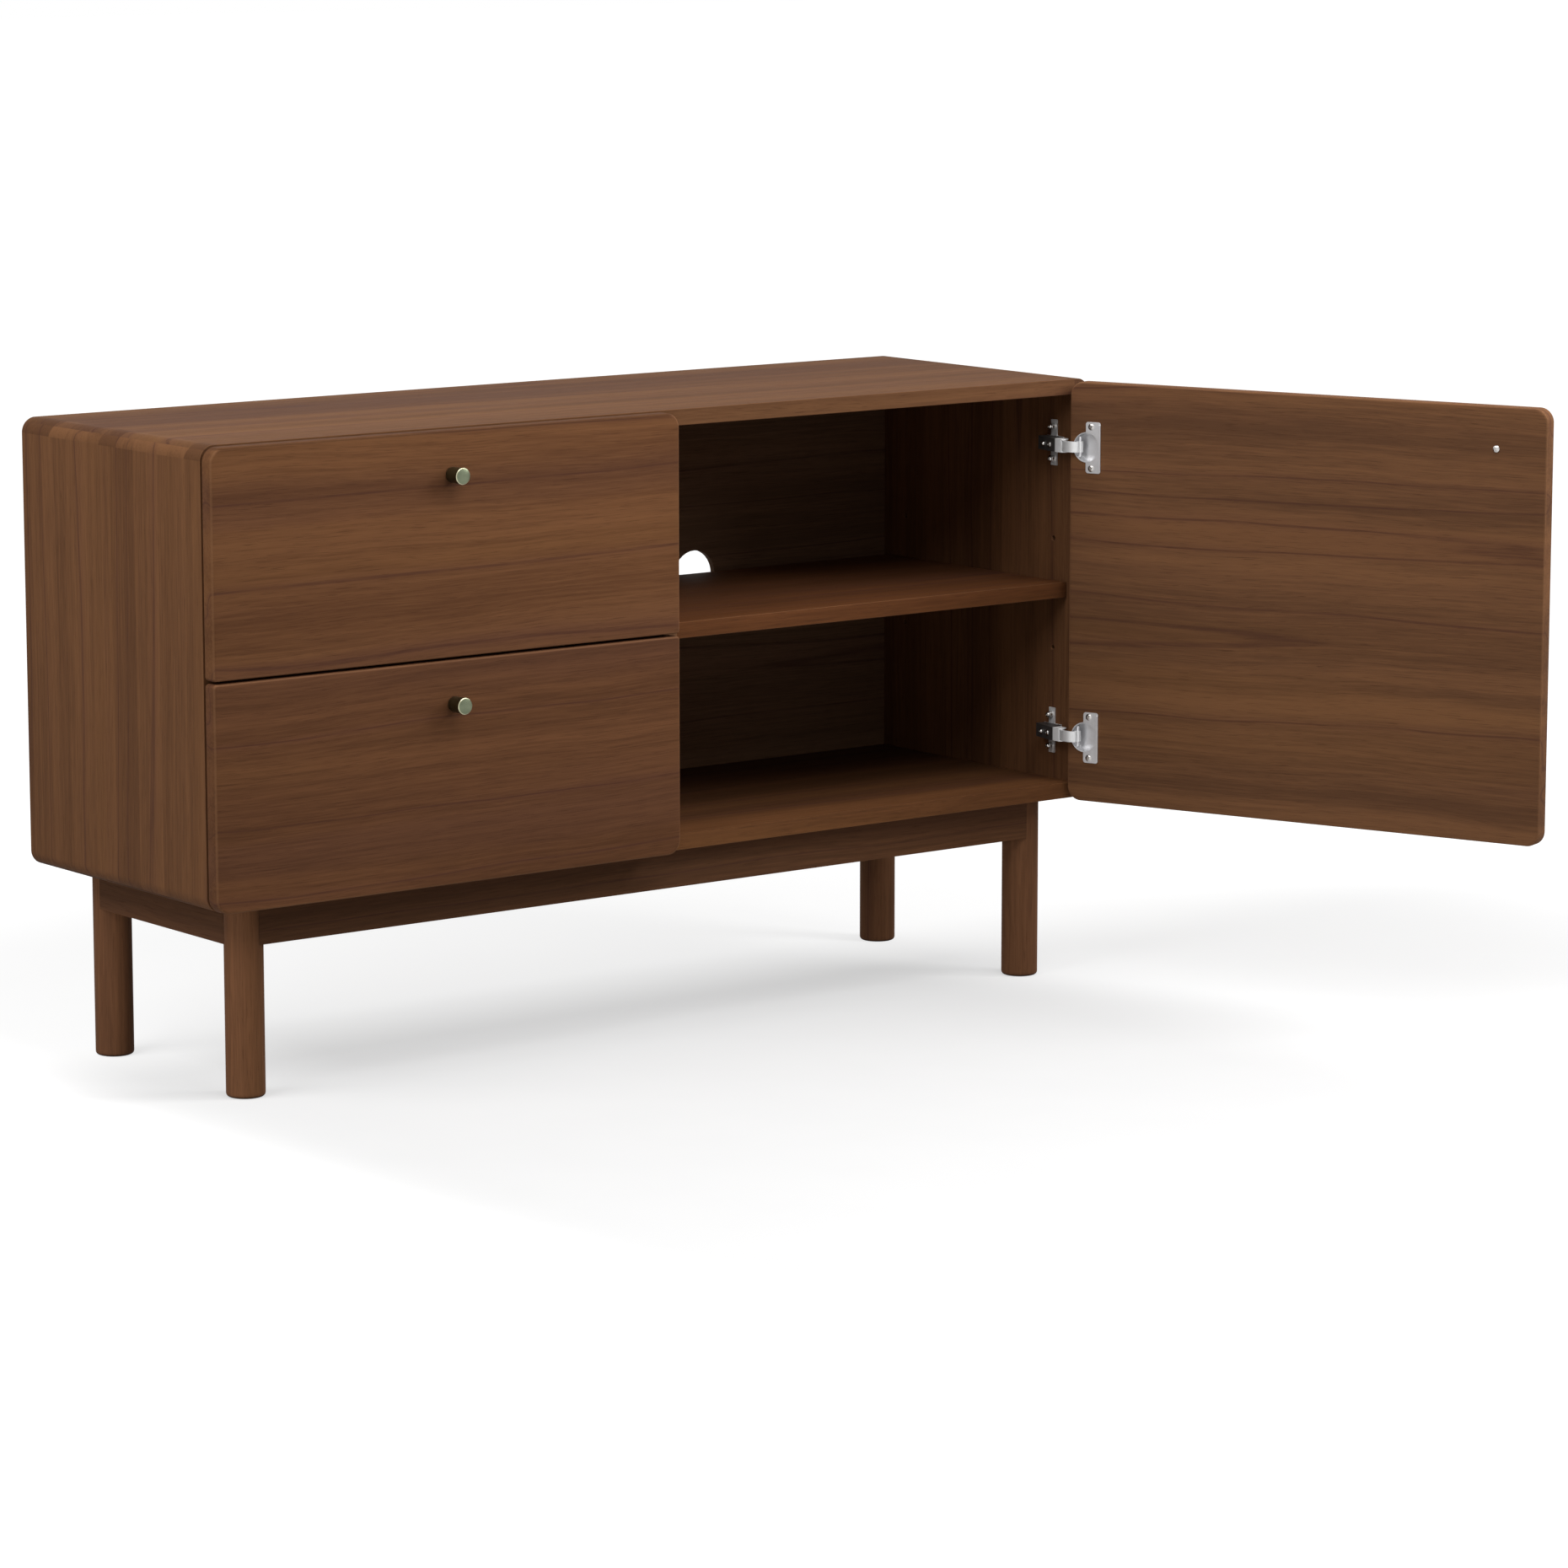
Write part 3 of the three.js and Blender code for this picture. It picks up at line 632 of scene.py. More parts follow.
def merged_copy(node):
    """The solid of a node as one clean mesh: doubles merged, flat triangles joined."""
    bm = bmesh.new()
    bm.from_mesh(frame["nodes"][node].data)
    bmesh.ops.remove_doubles(bm, verts=bm.verts, dist=MERGE_CLOSE)
    bmesh.ops.dissolve_limit(
        bm, angle_limit=FLAT_ANGLE, verts=bm.verts, edges=bm.edges, delimit={"NORMAL"}
    )
    return bm


def ease(bm, offset):
    """Rounds every sharp edge but those of the mitres; gives the new faces."""
    joints = {face for face in bm.faces if mitred(face)}
    arrises = [
        e
        for e in bm.edges
        if len(e.link_faces) == 2
        and e.calc_face_angle(0.0) > ARRIS_ANGLE
        and joints.isdisjoint(e.link_faces)
    ]
    for face in joints:
        bmesh.ops.translate(bm, vec=face.normal * MITRE_CLOSE, verts=face.verts)
    out = bmesh.ops.bevel(
        bm,
        geom=arrises,
        offset=offset,
        offset_type="OFFSET",
        segments=EASE_SEGMENTS,
        profile=0.5,
        affect="EDGES",
        clamp_overlap=True,
    )
    return set(out["faces"])


print("edges sharper than", round(math.degrees(ARRIS_ANGLE)), "degrees are eased")

# %% Wear and smooth shading
SOFT_ANGLE = math.radians(32)


def mark_edge_band(bm, edge_band):
    """Sets the edge band, read for wear and painted highlight, on the vertices that lie wholly
    within the marked faces.
    """
    band = bm.verts.layers.float.new("arris")
    for v in {v for face in edge_band for v in face.verts}:
        v[band] = float(all(face in edge_band for face in v.link_faces))


def smooth_curves(bm):
    bmesh.ops.triangulate(bm, faces=[f for f in bm.faces if len(f.verts) > 4])
    for face in bm.faces:
        face.smooth = True
    for e in bm.edges:
        e.smooth = len(e.link_faces) == 2 and e.calc_face_angle() < SOFT_ANGLE


print("bends under", round(math.degrees(SOFT_ANGLE)), "degrees are shaded smooth")

# %% The eased copy
ROUND_START, ROUND_END = 0.12, 0.99


def object_of(name, mesh):
    piece = bpy.data.objects.new(name, mesh)
    bpy.context.scene.collection.objects.link(piece)
    return piece


def mesh_of(name, bm):
    mesh = bpy.data.meshes.new(name)
    bm.to_mesh(mesh)
    bm.free()
    return mesh


def eased_copy(node, name, offset, finish, facing=None):
    """Dresses one node; with a facing, its wide rounds join the edge band too, for paler wear
    and a painted highlight.
    """
    bm = merged_copy(node)
    edge_band = ease(bm, offset)
    if facing is not None:
        slants = {face: abs(face.normal.dot(facing)) for face in bm.faces}
        edge_band |= {face for face, slant in slants.items() if ROUND_START < slant < ROUND_END}
    mark_edge_band(bm, edge_band)
    smooth_curves(bm)
    mesh = mesh_of(name, bm)
    mesh.materials.append(finish)
    piece = object_of(name, mesh)
    weigh = piece.modifiers.new("weighted normals", "WEIGHTED_NORMAL")
    weigh.keep_sharp = True
    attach(piece, BODY_OF[node])
    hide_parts(node)
    return piece


print("nodes to dress:", len(BODY_OF))

# %% [markdown]
# ## Carcass
# Top, bottom and two sides make the box, with mitred and rounded corners. A partition, a
# back board with a cable hole and a shelf divide it. Each stays a board of its own, as in
# the workshop, so that each has its own grain and its own eased edges.

# %% Carcass boards
CARCASS_BOARDS = {
    "top_panel": (TOP_WALNUT, "walnut"),
    "bottom_panel": (BOTTOM_WALNUT, "walnut"),
    "left_side_panel": (SIDE_WALNUT, "walnut"),
    "right_side_panel": (SIDE_WALNUT, "walnut"),
    "centre_partition": (LIGHTENED_PARTITION_WALNUT, "inner_walnut"),
    "back_panel": (LIGHTENED_INNER_WALNUT, "inner_walnut"),
    "shelf": (SHELF_WALNUT, "walnut"),
}
BOARD_EASE = 0.0008
boards = [
    eased_copy(node, f"{node}_board", BOARD_EASE, finish)
    for node, (finish, slot) in CARCASS_BOARDS.items()
]
print("carcass boards:", {b.name: len(b.data.polygons) for b in boards})


# %% [markdown]
# ## Fronts
# The two drawer fronts and the door are the faces that people see. They are cut from one run
# of veneer, so their grain carries on from the upper front to the lower one, which is painted
# a shade darker, as painted shade. Their outer corners follow the carcass. Their edges already
# carry a wider round, which is told from the flat face by the way the board faces, and which
# is paler, partly as wear and partly as a painted highlight.

# %% Drawer fronts and door
FRONTS = {
    "upper_drawer_front": FRONT_WALNUT,
    "lower_drawer_front": LOWER_FRONT_SHADED_WALNUT,
    "door_panel": DOOR_WALNUT,
}
FRONT_EASE = 0.0005
FORWARD = Vector((0, -1, 0))
door_in = Vector((-math.sin(DOOR_OPEN), math.cos(DOOR_OPEN), 0.0))
FACING = {"door_panel": door_in}
fronts = [
    eased_copy(node, f"{node}_board", FRONT_EASE, finish, FACING.get(node, FORWARD))
    for node, finish in FRONTS.items()
]
print("fronts:", {b.name: len(b.data.polygons) for b in fronts})

# %% [markdown]
# ## Drawer boxes
# Behind each front is a box of thin boards: two sides, two ends and a base. The grain runs
# along each board, so the sides, the ends and the base have a finish each. The boxes are
# copies of their solids, because only their edges need care.

# %% The boxes' boards
BOX_FINISH = {
    "box_left": BOX_LONG,
    "box_right": BOX_LONG,
    "box_front": BOX_CROSS,
    "box_back": BOX_CROSS,
    "box_base": BOX_BASE,
}
BOX_EASE = 0.001
box_boards = [
    eased_copy(f"{level}_{part}", f"{level}_{part}_board", BOX_EASE, finish)
    for level in ("upper_drawer", "lower_drawer")
    for part, finish in BOX_FINISH.items()
]
print("drawer-box boards:", len(box_boards))

# %% [markdown]
# ## Rails
# Four rails join the legs under the carcass. Their ends are scooped to the round of the legs,
# which the solids have already, so these are eased copies too. Long and short rails differ in
# the direction of the grain, and the long ones are painted a shade darker, as painted shade
# under the carcass.

# %% The leg frame's rails
RAIL_EASE = 0.0015
RAILS = {
    "front": RAIL_X_SHADED_WALNUT,
    "back": RAIL_X_SHADED_WALNUT,
    "left": RAIL_Y_WALNUT,
    "right": RAIL_Y_WALNUT,
}
rails = [
    eased_copy(f"rail_{rail}", f"rail_{rail}_board", RAIL_EASE, finish)
    for rail, finish in RAILS.items()
]
print("rails:", [r.name for r in rails])


# %% [markdown] ## Shapes that follow a rule Legs and screw heads are turned: a radius for each height, carried round an axis. A mesh could be spun by hand for each, but a Geometry Nodes tree says the rule once and takes its sizes as named inputs. It ends in Realize Instances and Set Material, and the result is kept as a plain mesh.
# It ends in Realize Instances and Set Material, and the result is kept as a plain mesh, so
# that nothing is lost in the export.

# %% A small kit for shapes
FLOAT, WHOLE, MATERIAL = "NodeSocketFloat", "NodeSocketInt", "NodeSocketMaterial"
GEOMETRY = "NodeSocketGeometry"


class ShapeTree(NodeTree):
    """A Geometry Nodes group with named inputs."""

    def __init__(self, name, inputs):
        super().__init__(bpy.data.node_groups.new(name, "GeometryNodeTree"))
        face = self.tree.interface
        for label, kind in {"Geometry": GEOMETRY, **inputs}.items():
            face.new_socket(label, in_out="INPUT", socket_type=kind)
        face.new_socket("Geometry", in_out="OUTPUT", socket_type=GEOMETRY)
        entry = self.node("NodeGroupInput", {}, {})
        self.given = {s.name: Signal(self, s) for s in entry.outputs if s.name}
        self.result = self.node("NodeGroupOutput", {}, {}).inputs[0]

    def upright_path(self, length, steps):
        """A line from the origin upwards, with this many points."""
        line = {"End": self.vector(0.0, 0.0, length)}
        path = self.signal("GeometryNodeCurvePrimitiveLine", {}, line)
        evenly = {"Curve": path, "Count": steps}
        return self.signal("GeometryNodeResampleCurve", {"mode": "COUNT"}, evenly)

    def along_path(self, measure):
        """How far along the path a point lies, as a Factor or as a Length."""
        return self.signal("GeometryNodeSplineParameter", {}, {}, measure)

    def turned(self, path, girth, segments):
        """A closed round body with the given radius at each point of the path."""
        ring = {"Resolution": segments, "Radius": 1.0}
        circle = self.signal("GeometryNodeCurvePrimitiveCircle", {"mode": "RADIUS"}, ring)
        swept = {"Curve": path, "Profile Curve": circle, "Scale": girth, "Fill Caps": True}
        return self.signal("GeometryNodeCurveToMesh", {}, swept)

    def end(self, geometry):
        whole = self.signal("GeometryNodeRealizeInstances", {}, {"Geometry": geometry})
        finished = {"Geometry": whole, "Material": self.given["Finish"]}
        self.feed(self.result, self.signal("GeometryNodeSetMaterial", {}, finished))

    def make(self, name, carrier, values):
        """Runs the tree on a carrier mesh and gives the result as a plain mesh object."""
        piece = object_of(name, carrier)
        modifier = piece.modifiers.new("tree", "NODES")
        modifier.node_group = self.tree
        for item in self.tree.interface.items_tree:
            if item.in_out == "INPUT" and item.name in values:
                modifier[item.identifier] = values[item.name]
        depsgraph = bpy.context.evaluated_depsgraph_get()
        made = bpy.data.meshes.new_from_object(piece.evaluated_get(depsgraph))
        piece.modifiers.remove(modifier)
        piece.data = made
        made.name = name
        return piece


def points_mesh(name, points):
    mesh = bpy.data.meshes.new(name)
    mesh.from_pydata([tuple(p) for p in points], [], [])
    return mesh


print("kit for shapes:", [n for n in vars(ShapeTree) if not n.startswith("_")])

# %% [markdown]
# ## Turned legs
# The legs are turned on a lathe: a plain round with a soft foot. The tree makes a straight
# path, crowds its points at the foot, where the shape changes fast, gives each point a
# radius and sweeps a circle along it. All four legs come from one tree, on the four
# points where the solids stand.

# %% The leg tree
LEG_STEPS = 24
FOOT_CROWDING = 3.0
LEG_SEGMENTS = 64
leg_tree = ShapeTree(
    "turned_leg", {"Length": FLOAT, "Radius": FLOAT, "Foot Round": FLOAT, "Finish": MATERIAL}
)
length, foot_round = leg_tree.given["Length"], leg_tree.given["Foot Round"]
path = leg_tree.upright_path(length, LEG_STEPS)
crowded = leg_tree.along_path("Factor") ** FOOT_CROWDING * length
moved = {"Geometry": path, "Position": leg_tree.vector(0.0, 0.0, crowded)}
path = leg_tree.signal("GeometryNodeSetPosition", {}, moved)
share = (foot_round - leg_tree.along_path("Length")).at_least(0.0) / foot_round
lost = foot_round * (1.0 - (1.0 - share * share).root())
leg = leg_tree.turned(path, leg_tree.given["Radius"] - lost, LEG_SEGMENTS)
smooth = leg_tree.signal("GeometryNodeSetShadeSmooth", {}, {"Geometry": leg})
stood = {"Points": leg_tree.given["Geometry"], "Instance": smooth}
leg_tree.end(leg_tree.signal("GeometryNodeInstanceOnPoints", {}, stood))
print("leg tree:", len(leg_tree.tree.nodes), "nodes")

# %% Four legs
LEGS = ["leg_front_left", "leg_front_right", "leg_back_left", "leg_back_right"]
FOOT_ROUND = 0.004
FOOT_SHARP = math.radians(50)
leg_boxes = [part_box(n) for n in LEGS]
leg_feet = [Vector(((lo.x + hi.x) / 2, (lo.y + hi.y) / 2, lo.z)) for lo, hi in leg_boxes]
leg_size = leg_boxes[0][1] - leg_boxes[0][0]
legs = leg_tree.make(
    "turned_legs",
    points_mesh("leg_points", leg_feet),
    {
        "Length": leg_size.z,
        "Radius": leg_size.x / 2,
        "Foot Round": FOOT_ROUND,
        "Finish": LEG_WALNUT,
    },
)
legs.data.set_sharp_from_angle(angle=FOOT_SHARP)
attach(legs, "carcass")
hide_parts(*LEGS)
print("legs:", len(legs.data.polygons), "faces, height", round(leg_size.z, 4))


# %% [markdown]
# ## Knobs
# Each knob is a short turned plug of champagne brass, a little wider at its flat end, with a
# narrow chamfer that carries a painted glint. The lathe leaves fine rings round the axis, so
# the finish measures the distance from it. The profile is turned about the knob's own axis in
# mesh code, because the chamfer has to be marked for its painted glint. The door stands open,
# so its knob points another way than the drawers', and the axis is a parameter.

# %% Turned brass
RING_REPEAT = 2600
BRASS_CLOUD = 120
BRASS_DARK, BRASS_LIGHT, BRASS_PAINTED_GLINT = (100, 107, 87), (116, 122, 101), (206, 200, 168)
RING_DEPTH = 0.00002


def turned_brass(name, middle, turn):
    """Rings round the knob's own axis, which lies level and is turned about the upright."""
    f = Finish(name)
    x, y, z = f.place()
    side = (x - middle.x) * math.cos(turn) + (y - middle.y) * math.sin(turn)
    up = z - middle.z
    radius = (side * side + up * up) ** 0.5
    rings = f.noise((radius * RING_REPEAT, 0.0, 0.0))
    cloud = f.noise((x * BRASS_CLOUD, y * BRASS_CLOUD, z * BRASS_CLOUD), 3.0)
    metal = f.mix(cloud, colour(*BRASS_DARK), colour(*BRASS_LIGHT))
    # painted glint: the chamfer is paler brass, as if it caught the light
    metal = f.mix(f.edge_band() * 0.7, metal, colour(*BRASS_PAINTED_GLINT))
    return f.shade(
        Base_Color=metal,
        Metallic=1.0,
        Roughness=0.30 + (rings - 0.5) * 0.16 + (cloud - 0.5) * 0.08,
        Normal=f.bump(rings, RING_DEPTH, 0.3),
    )


print("rings on the brass:", round(1000 / RING_REPEAT, 2), "mm apart")

# %% The knob's profile
KNOB_HALF = 0.0105
KNOB_CHAMFER, KNOB_FACE = 0.0202, 0.0209
# radius and distance from the base
KNOB_PROFILE = [
    (0.0, 0.0),
    (0.0083, 0.0),
    (0.0084, 0.0004),
    (0.0090, 0.0200),
    (0.0090, KNOB_CHAMFER),
    (0.0084, 0.0208),
    (0.0082, KNOB_FACE),
    (0.0, KNOB_FACE),
]
KNOB_SEGMENTS = 72
UP = Vector((0, 0, 1))


def knob_ring(bm, band, base, axis, side, radius, out):
    """One ring of the profile, or a single point where it meets the axis."""
    ring = []
    for i in range(KNOB_SEGMENTS if radius else 1):
        turn = 2 * math.pi * i / KNOB_SEGMENTS
        around = side * (radius * math.cos(turn)) + UP * (radius * math.sin(turn))
        vert = bm.verts.new(base + axis * out + around)
        # the chamfer is marked for the painted glint
        vert[band] = float(KNOB_CHAMFER <= out < KNOB_FACE)
        ring.append(vert)
    return ring


print("knob:", KNOB_FACE * 1000, "mm long,", len(KNOB_PROFILE), "points in its profile")

# %% Turned knobs
KNOB_SHARP = math.radians(28)


def turned_knob(node, name, axis):
    low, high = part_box(node)
    middle = (low + high) / 2
    side = axis.cross(UP).normalized()
    base = middle - axis * KNOB_HALF
    bm = bmesh.new()
    band = bm.verts.layers.float.new("arris")
    rings = [knob_ring(bm, band, base, axis, side, *point) for point in KNOB_PROFILE]
    for a, b in zip(rings, rings[1:]):
        for i in range(KNOB_SEGMENTS):
            j = (i + 1) % KNOB_SEGMENTS
            corners = [a[i % len(a)], a[j % len(a)], b[j % len(b)], b[i % len(b)]]
            bm.faces.new(list(dict.fromkeys(corners)))
    bmesh.ops.recalc_face_normals(bm, faces=bm.faces)
    mesh = mesh_of(name, bm)
    mesh.shade_smooth()
    mesh.set_sharp_from_angle(angle=KNOB_SHARP)
    turn = math.atan2(side.y, side.x)
    mesh.materials.append(turned_brass(f"{name}_brass", middle, turn))
    piece = object_of(name, mesh)
    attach(piece, BODY_OF[node])
    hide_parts(node)
    print(name, len(mesh.polygons), "faces, middle", rounded(middle))


KNOB_AXES = {
    "upper_drawer_knob": FORWARD,
    "lower_drawer_knob": FORWARD,
    "door_knob": -door_in,
}
for node, axis in KNOB_AXES.items():
    turned_knob(node, f"{node}_turned", axis)

# %% [markdown]
# ## Hinges, runners and shelf pins
# The concealed hinges and the runners are pressed from sheet. Their solids have the right
# forms, so they are merged copies with a fine eased edge and a plated finish.

# %% Metal pieces
METAL_EASE = 0.0002
HINGE_NICKEL = {
    "cup": NICKEL,
    "link": LINK_NICKEL,
    "arm": ARM_NICKEL,
    "plate": LINK_NICKEL,
}
LEVELS, SIDES = ("upper", "lower"), ("left", "right")
metal_pieces = []
for level in LEVELS:
    for part, nickel in HINGE_NICKEL.items():
        node = f"hinge_{level}_{part}"
        metal_pieces.append(
            eased_copy(node, f"{node}_metal", METAL_EASE, nickel)
        )
    for side in SIDES:
        for member in ("cabinet", "middle", "drawer"):
            node = f"{level}_drawer_{side}_runner_{member}_member"
            metal_pieces.append(
                eased_copy(node, f"{node}_steel", METAL_EASE, STEEL)
            )
for side in SIDES:
    for row in ("front", "back"):
        node = f"shelf_pin_{side}_{row}"
        metal_pieces.append(
            eased_copy(node, f"{node}_metal", METAL_EASE, NICKEL)
        )
print("metal pieces:", len(metal_pieces))


# %% [markdown]
# ## Screws
# The hinges, the knob of the door, the drawer fronts and the back are held by screws. A
# screw head follows a rule: a collar, a dome above it and a cross cut into the top. One
# Geometry Nodes tree makes the head and stands it on every point it is given, turned to
# the direction that the point faces and spun at random, since no two screws end alike.
# The cross is cut with the manifold solver, which leaves a closed head.

# %% The screw's head
SCREW_STEPS = 26
SCREW_SEGMENTS = 28
DOME_SHARE = 0.86
SLOT_REACH = 1.15
SCREW_SIZES = (
    "Head Radius", "Head Rise", "Collar Radius", "Collar Rise", "Slot Width", "Slot Depth"
)
screw_tree = ShapeTree(
    "screw_heads",
    {**dict.fromkeys(SCREW_SIZES, FLOAT), "Seed": WHOLE, "Finish": MATERIAL},
)
given = screw_tree.given
head_radius, head_rise, collar_radius, collar_rise, slot_width, slot_depth = (
    given[label] for label in SCREW_SIZES
)
head_tall = collar_rise + head_rise
path = screw_tree.upright_path(head_tall, SCREW_STEPS)
height = screw_tree.along_path("Length")
share = (height - collar_rise).at_least(0.0) / head_rise * DOME_SHARE
dome = head_radius * (1.0 - share * share).root()
on_head = height.above(collar_rise)
girth = on_head * dome + (1.0 - on_head) * collar_radius
head = screw_tree.turned(path, girth, SCREW_SEGMENTS)
slot_long = head_radius * SLOT_REACH
tip = screw_tree.vector(0.0, 0.0, head_tall)
for across, up in ((slot_long, slot_width), (slot_width, slot_long)):
    size = screw_tree.vector(across, up, slot_depth * 2.0)
    block = screw_tree.signal("GeometryNodeMeshCube", {}, {"Size": size})
    raised = {"Geometry": block, "Translation": tip}
    cutter = screw_tree.signal("GeometryNodeTransform", {}, raised)
    head = screw_tree.signal(
        "GeometryNodeMeshBoolean",
        {"operation": "DIFFERENCE", "solver": "MANIFOLD"},
        {"Mesh 1": head, "Mesh 2": cutter},
    )
print("screw head:", len(screw_tree.tree.nodes), "nodes")

# %% Aiming and setting the heads
smooth = screw_tree.signal("GeometryNodeSetShadeSmooth", {}, {"Geometry": head})
facing = screw_tree.signal(
    "GeometryNodeInputNamedAttribute",
    {"data_type": "FLOAT_VECTOR"},
    {"Name": "facing"},
    "Attribute",
)
aimed = screw_tree.signal(
    "FunctionNodeAlignRotationToVector", {"axis": "Z"}, {"Vector": facing}
)
angle = screw_tree.signal(
    "FunctionNodeRandomValue",
    {"data_type": "FLOAT"},
    {2: 0.0, 3: math.pi, "Seed": given["Seed"]},
    1,
)
spin = screw_tree.signal(
    "FunctionNodeAxisAngleToRotation", {}, {"Axis": (0.0, 0.0, 1.0), "Angle": angle}
)
turned = screw_tree.signal(
    "FunctionNodeRotateRotation",
    {"rotation_space": "LOCAL"},
    {"Rotation": aimed, "Rotate By": spin},
)
set_in = {"Points": given["Geometry"], "Instance": smooth, "Rotation": turned}
screw_tree.end(screw_tree.signal("GeometryNodeInstanceOnPoints", {}, set_in))
print("screw tree:", len(screw_tree.tree.nodes), "nodes")


# %% [markdown]
# ### Where the screws are
# Two screws hold each hinge's flange to the door, two its plate to the side board, and
# two more on the arm adjust and lock it. Their places are measured from the solids that
# they hold: from the door's own edge and face, from the wings of the plate and along the
# slope of the arm. So they stay right if a solid moves.

# %% Screws of the hinges and the door
def mesh_points(node):
    return [v.co.copy() for v in frame["nodes"][node].data.vertices]


door_along = Vector((-math.cos(DOOR_OPEN), -math.sin(DOOR_OPEN), 0.0))
door_points = mesh_points("door_panel")
door_edge = min(p.dot(door_along) for p in door_points)
door_face = max(p.dot(door_in) for p in door_points)


def door_spot(along, height, rise):
    spot = door_along * (door_edge + along) + door_in * (door_face + rise)
    return Vector((spot.x, spot.y, height))


FLANGE_RISE = 0.0012
FLANGE_SCREW_AT = 0.0286
FLANGE_SCREW_APART = 0.048
PLATE_SCREW_APART = 0.037
WING_DEPTH = 0.001
ARM_FACE_START = 0.0176
ARM_FACE_SLOPE = 0.0064
ADJUSTING_AT, LOCK_AT = 0.24, 0.60
flange_screws, plate_screws, adjusting_screws, lock_screws = [], [], [], []
for level in LEVELS:
    low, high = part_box(f"hinge_{level}_plate")
    middle = (low.z + high.z) / 2
    wing = [p.y for p in mesh_points(f"hinge_{level}_plate") if p.z > high.z - WING_DEPTH]
    wing_middle = sum(wing) / len(wing)
    for half in (-0.5, 0.5):
        flange_z = middle + half * FLANGE_SCREW_APART
        flange_screws.append(door_spot(FLANGE_SCREW_AT, flange_z, FLANGE_RISE))
        plate_z = middle + half * PLATE_SCREW_APART
        plate_screws.append(Vector((low.x, wing_middle, plate_z)))
    low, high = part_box(f"hinge_{level}_arm")
    start = Vector((low.x, low.y + ARM_FACE_START, middle))
    end = Vector((low.x + ARM_FACE_SLOPE, high.y, middle))
    arm_out = Vector((-(end.y - start.y), end.x - start.x, 0.0)).normalized()
    adjusting_screws.append(start.lerp(end, ADJUSTING_AT))
    lock_screws.append(start.lerp(end, LOCK_AT))
knob_low, knob_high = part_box("door_knob")
knob_middle = (knob_low + knob_high) / 2
knob_along = knob_middle.dot(door_along) - door_edge
knob_screw = [door_spot(knob_along, knob_middle.z, 0.0)]
print("door knob's screw:", round(knob_along, 4), "from the hinge edge of the door")

# %% Screws of the back and the drawers
BACK_SCREW_IN = 0.009
BACK_SCREWS_LONG = 9
BACK_SCREWS_HIGH = 3
DRAWER_SCREWS_ACROSS, DRAWER_SCREWS_UP = (0.14, 0.86), (0.3, 0.72)


def spaced(first, last, count):
    return [first + (last - first) * i / (count - 1) for i in range(count)]


back_low, back_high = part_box("back_panel")
back_x = (back_low.x + BACK_SCREW_IN, back_high.x - BACK_SCREW_IN)
back_z = (back_low.z + BACK_SCREW_IN, back_high.z - BACK_SCREW_IN)
side_heights = spaced(back_low.z, back_high.z, BACK_SCREWS_HIGH + 2)[1:-1]
back_places = [(x, z) for x in spaced(*back_x, BACK_SCREWS_LONG) for z in back_z]
back_places += [(x, z) for z in side_heights for x in back_x]
back_screws = [Vector((x, back_high.y, z)) for x, z in back_places]


def drawer_screws(level):
    low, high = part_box(f"{level}_box_front")
    size = high - low
    return [
        Vector((low.x + size.x * across, high.y, low.z + size.z * up))
        for across in DRAWER_SCREWS_ACROSS
        for up in DRAWER_SCREWS_UP
    ]


print("back screws:", len(back_screws))

# %% [markdown]
# ### Setting the screws
# Each row below is one kind of screw: the body that carries it, its points, the way the
# heads face, the six sizes of the head in metres, and a seed. The seed is fixed, so the
# spin of every cross stays the same from run to run. The back's screws are browned steel
# and the others are plated.

# %% All the screws
BACKWARD, INWARD = Vector((0, 1, 0)), Vector((-1, 0, 0))
FLANGE_HEAD = (0.0036, 0.0009, 0.0039, 0.00025, 0.0010, 0.0006)
PLATE_HEAD = (0.0033, 0.0028, 0.0036, 0.0044, 0.0009, 0.0012)
ADJUSTING_HEAD = (0.0032, 0.0014, 0.0036, 0.0005, 0.0009, 0.0009)
LOCK_HEAD = (0.0025, 0.0022, 0.0029, 0.0012, 0.0008, 0.0009)
KNOB_HEAD = (0.0042, 0.0019, 0.0042, 0.0003, 0.0012, 0.0011)
BACK_HEAD = (0.0032, 0.0008, 0.0032, 0.0002, 0.0009, 0.0006)
DRAWER_HEAD = (0.0038, 0.0016, 0.0038, 0.0003, 0.0011, 0.0010)
SCREW_SHARP = math.radians(35)
STEEL_OF = {"back_panel_screws": DARK_STEEL}
SCREW_SETS = [
    ("hinge_flange_screws", "door", flange_screws, door_in, FLANGE_HEAD, 3),
    ("hinge_plate_screws", "carcass", plate_screws, INWARD, PLATE_HEAD, 4),
    ("hinge_adjusting_screws", "carcass", adjusting_screws, arm_out, ADJUSTING_HEAD, 5),
    ("hinge_lock_screws", "carcass", lock_screws, arm_out, LOCK_HEAD, 6),
    ("door_knob_screw", "door", knob_screw, door_in, KNOB_HEAD, 7),
    ("back_panel_screws", "carcass", back_screws, BACKWARD, BACK_HEAD, 8),
]
for seed, drawer in enumerate(("upper_drawer", "lower_drawer"), start=9):
    places = drawer_screws(drawer)
    SCREW_SETS.append((f"{drawer}_screws", drawer, places, BACKWARD, DRAWER_HEAD, seed))


def screw_points(name, points, way):
    """The points as a mesh, each with the direction that its screw faces."""
    mesh = points_mesh(f"{name}_points", points)
    for item in mesh.attributes.new("facing", "FLOAT_VECTOR", "POINT").data:
        item.vector = way
    return mesh


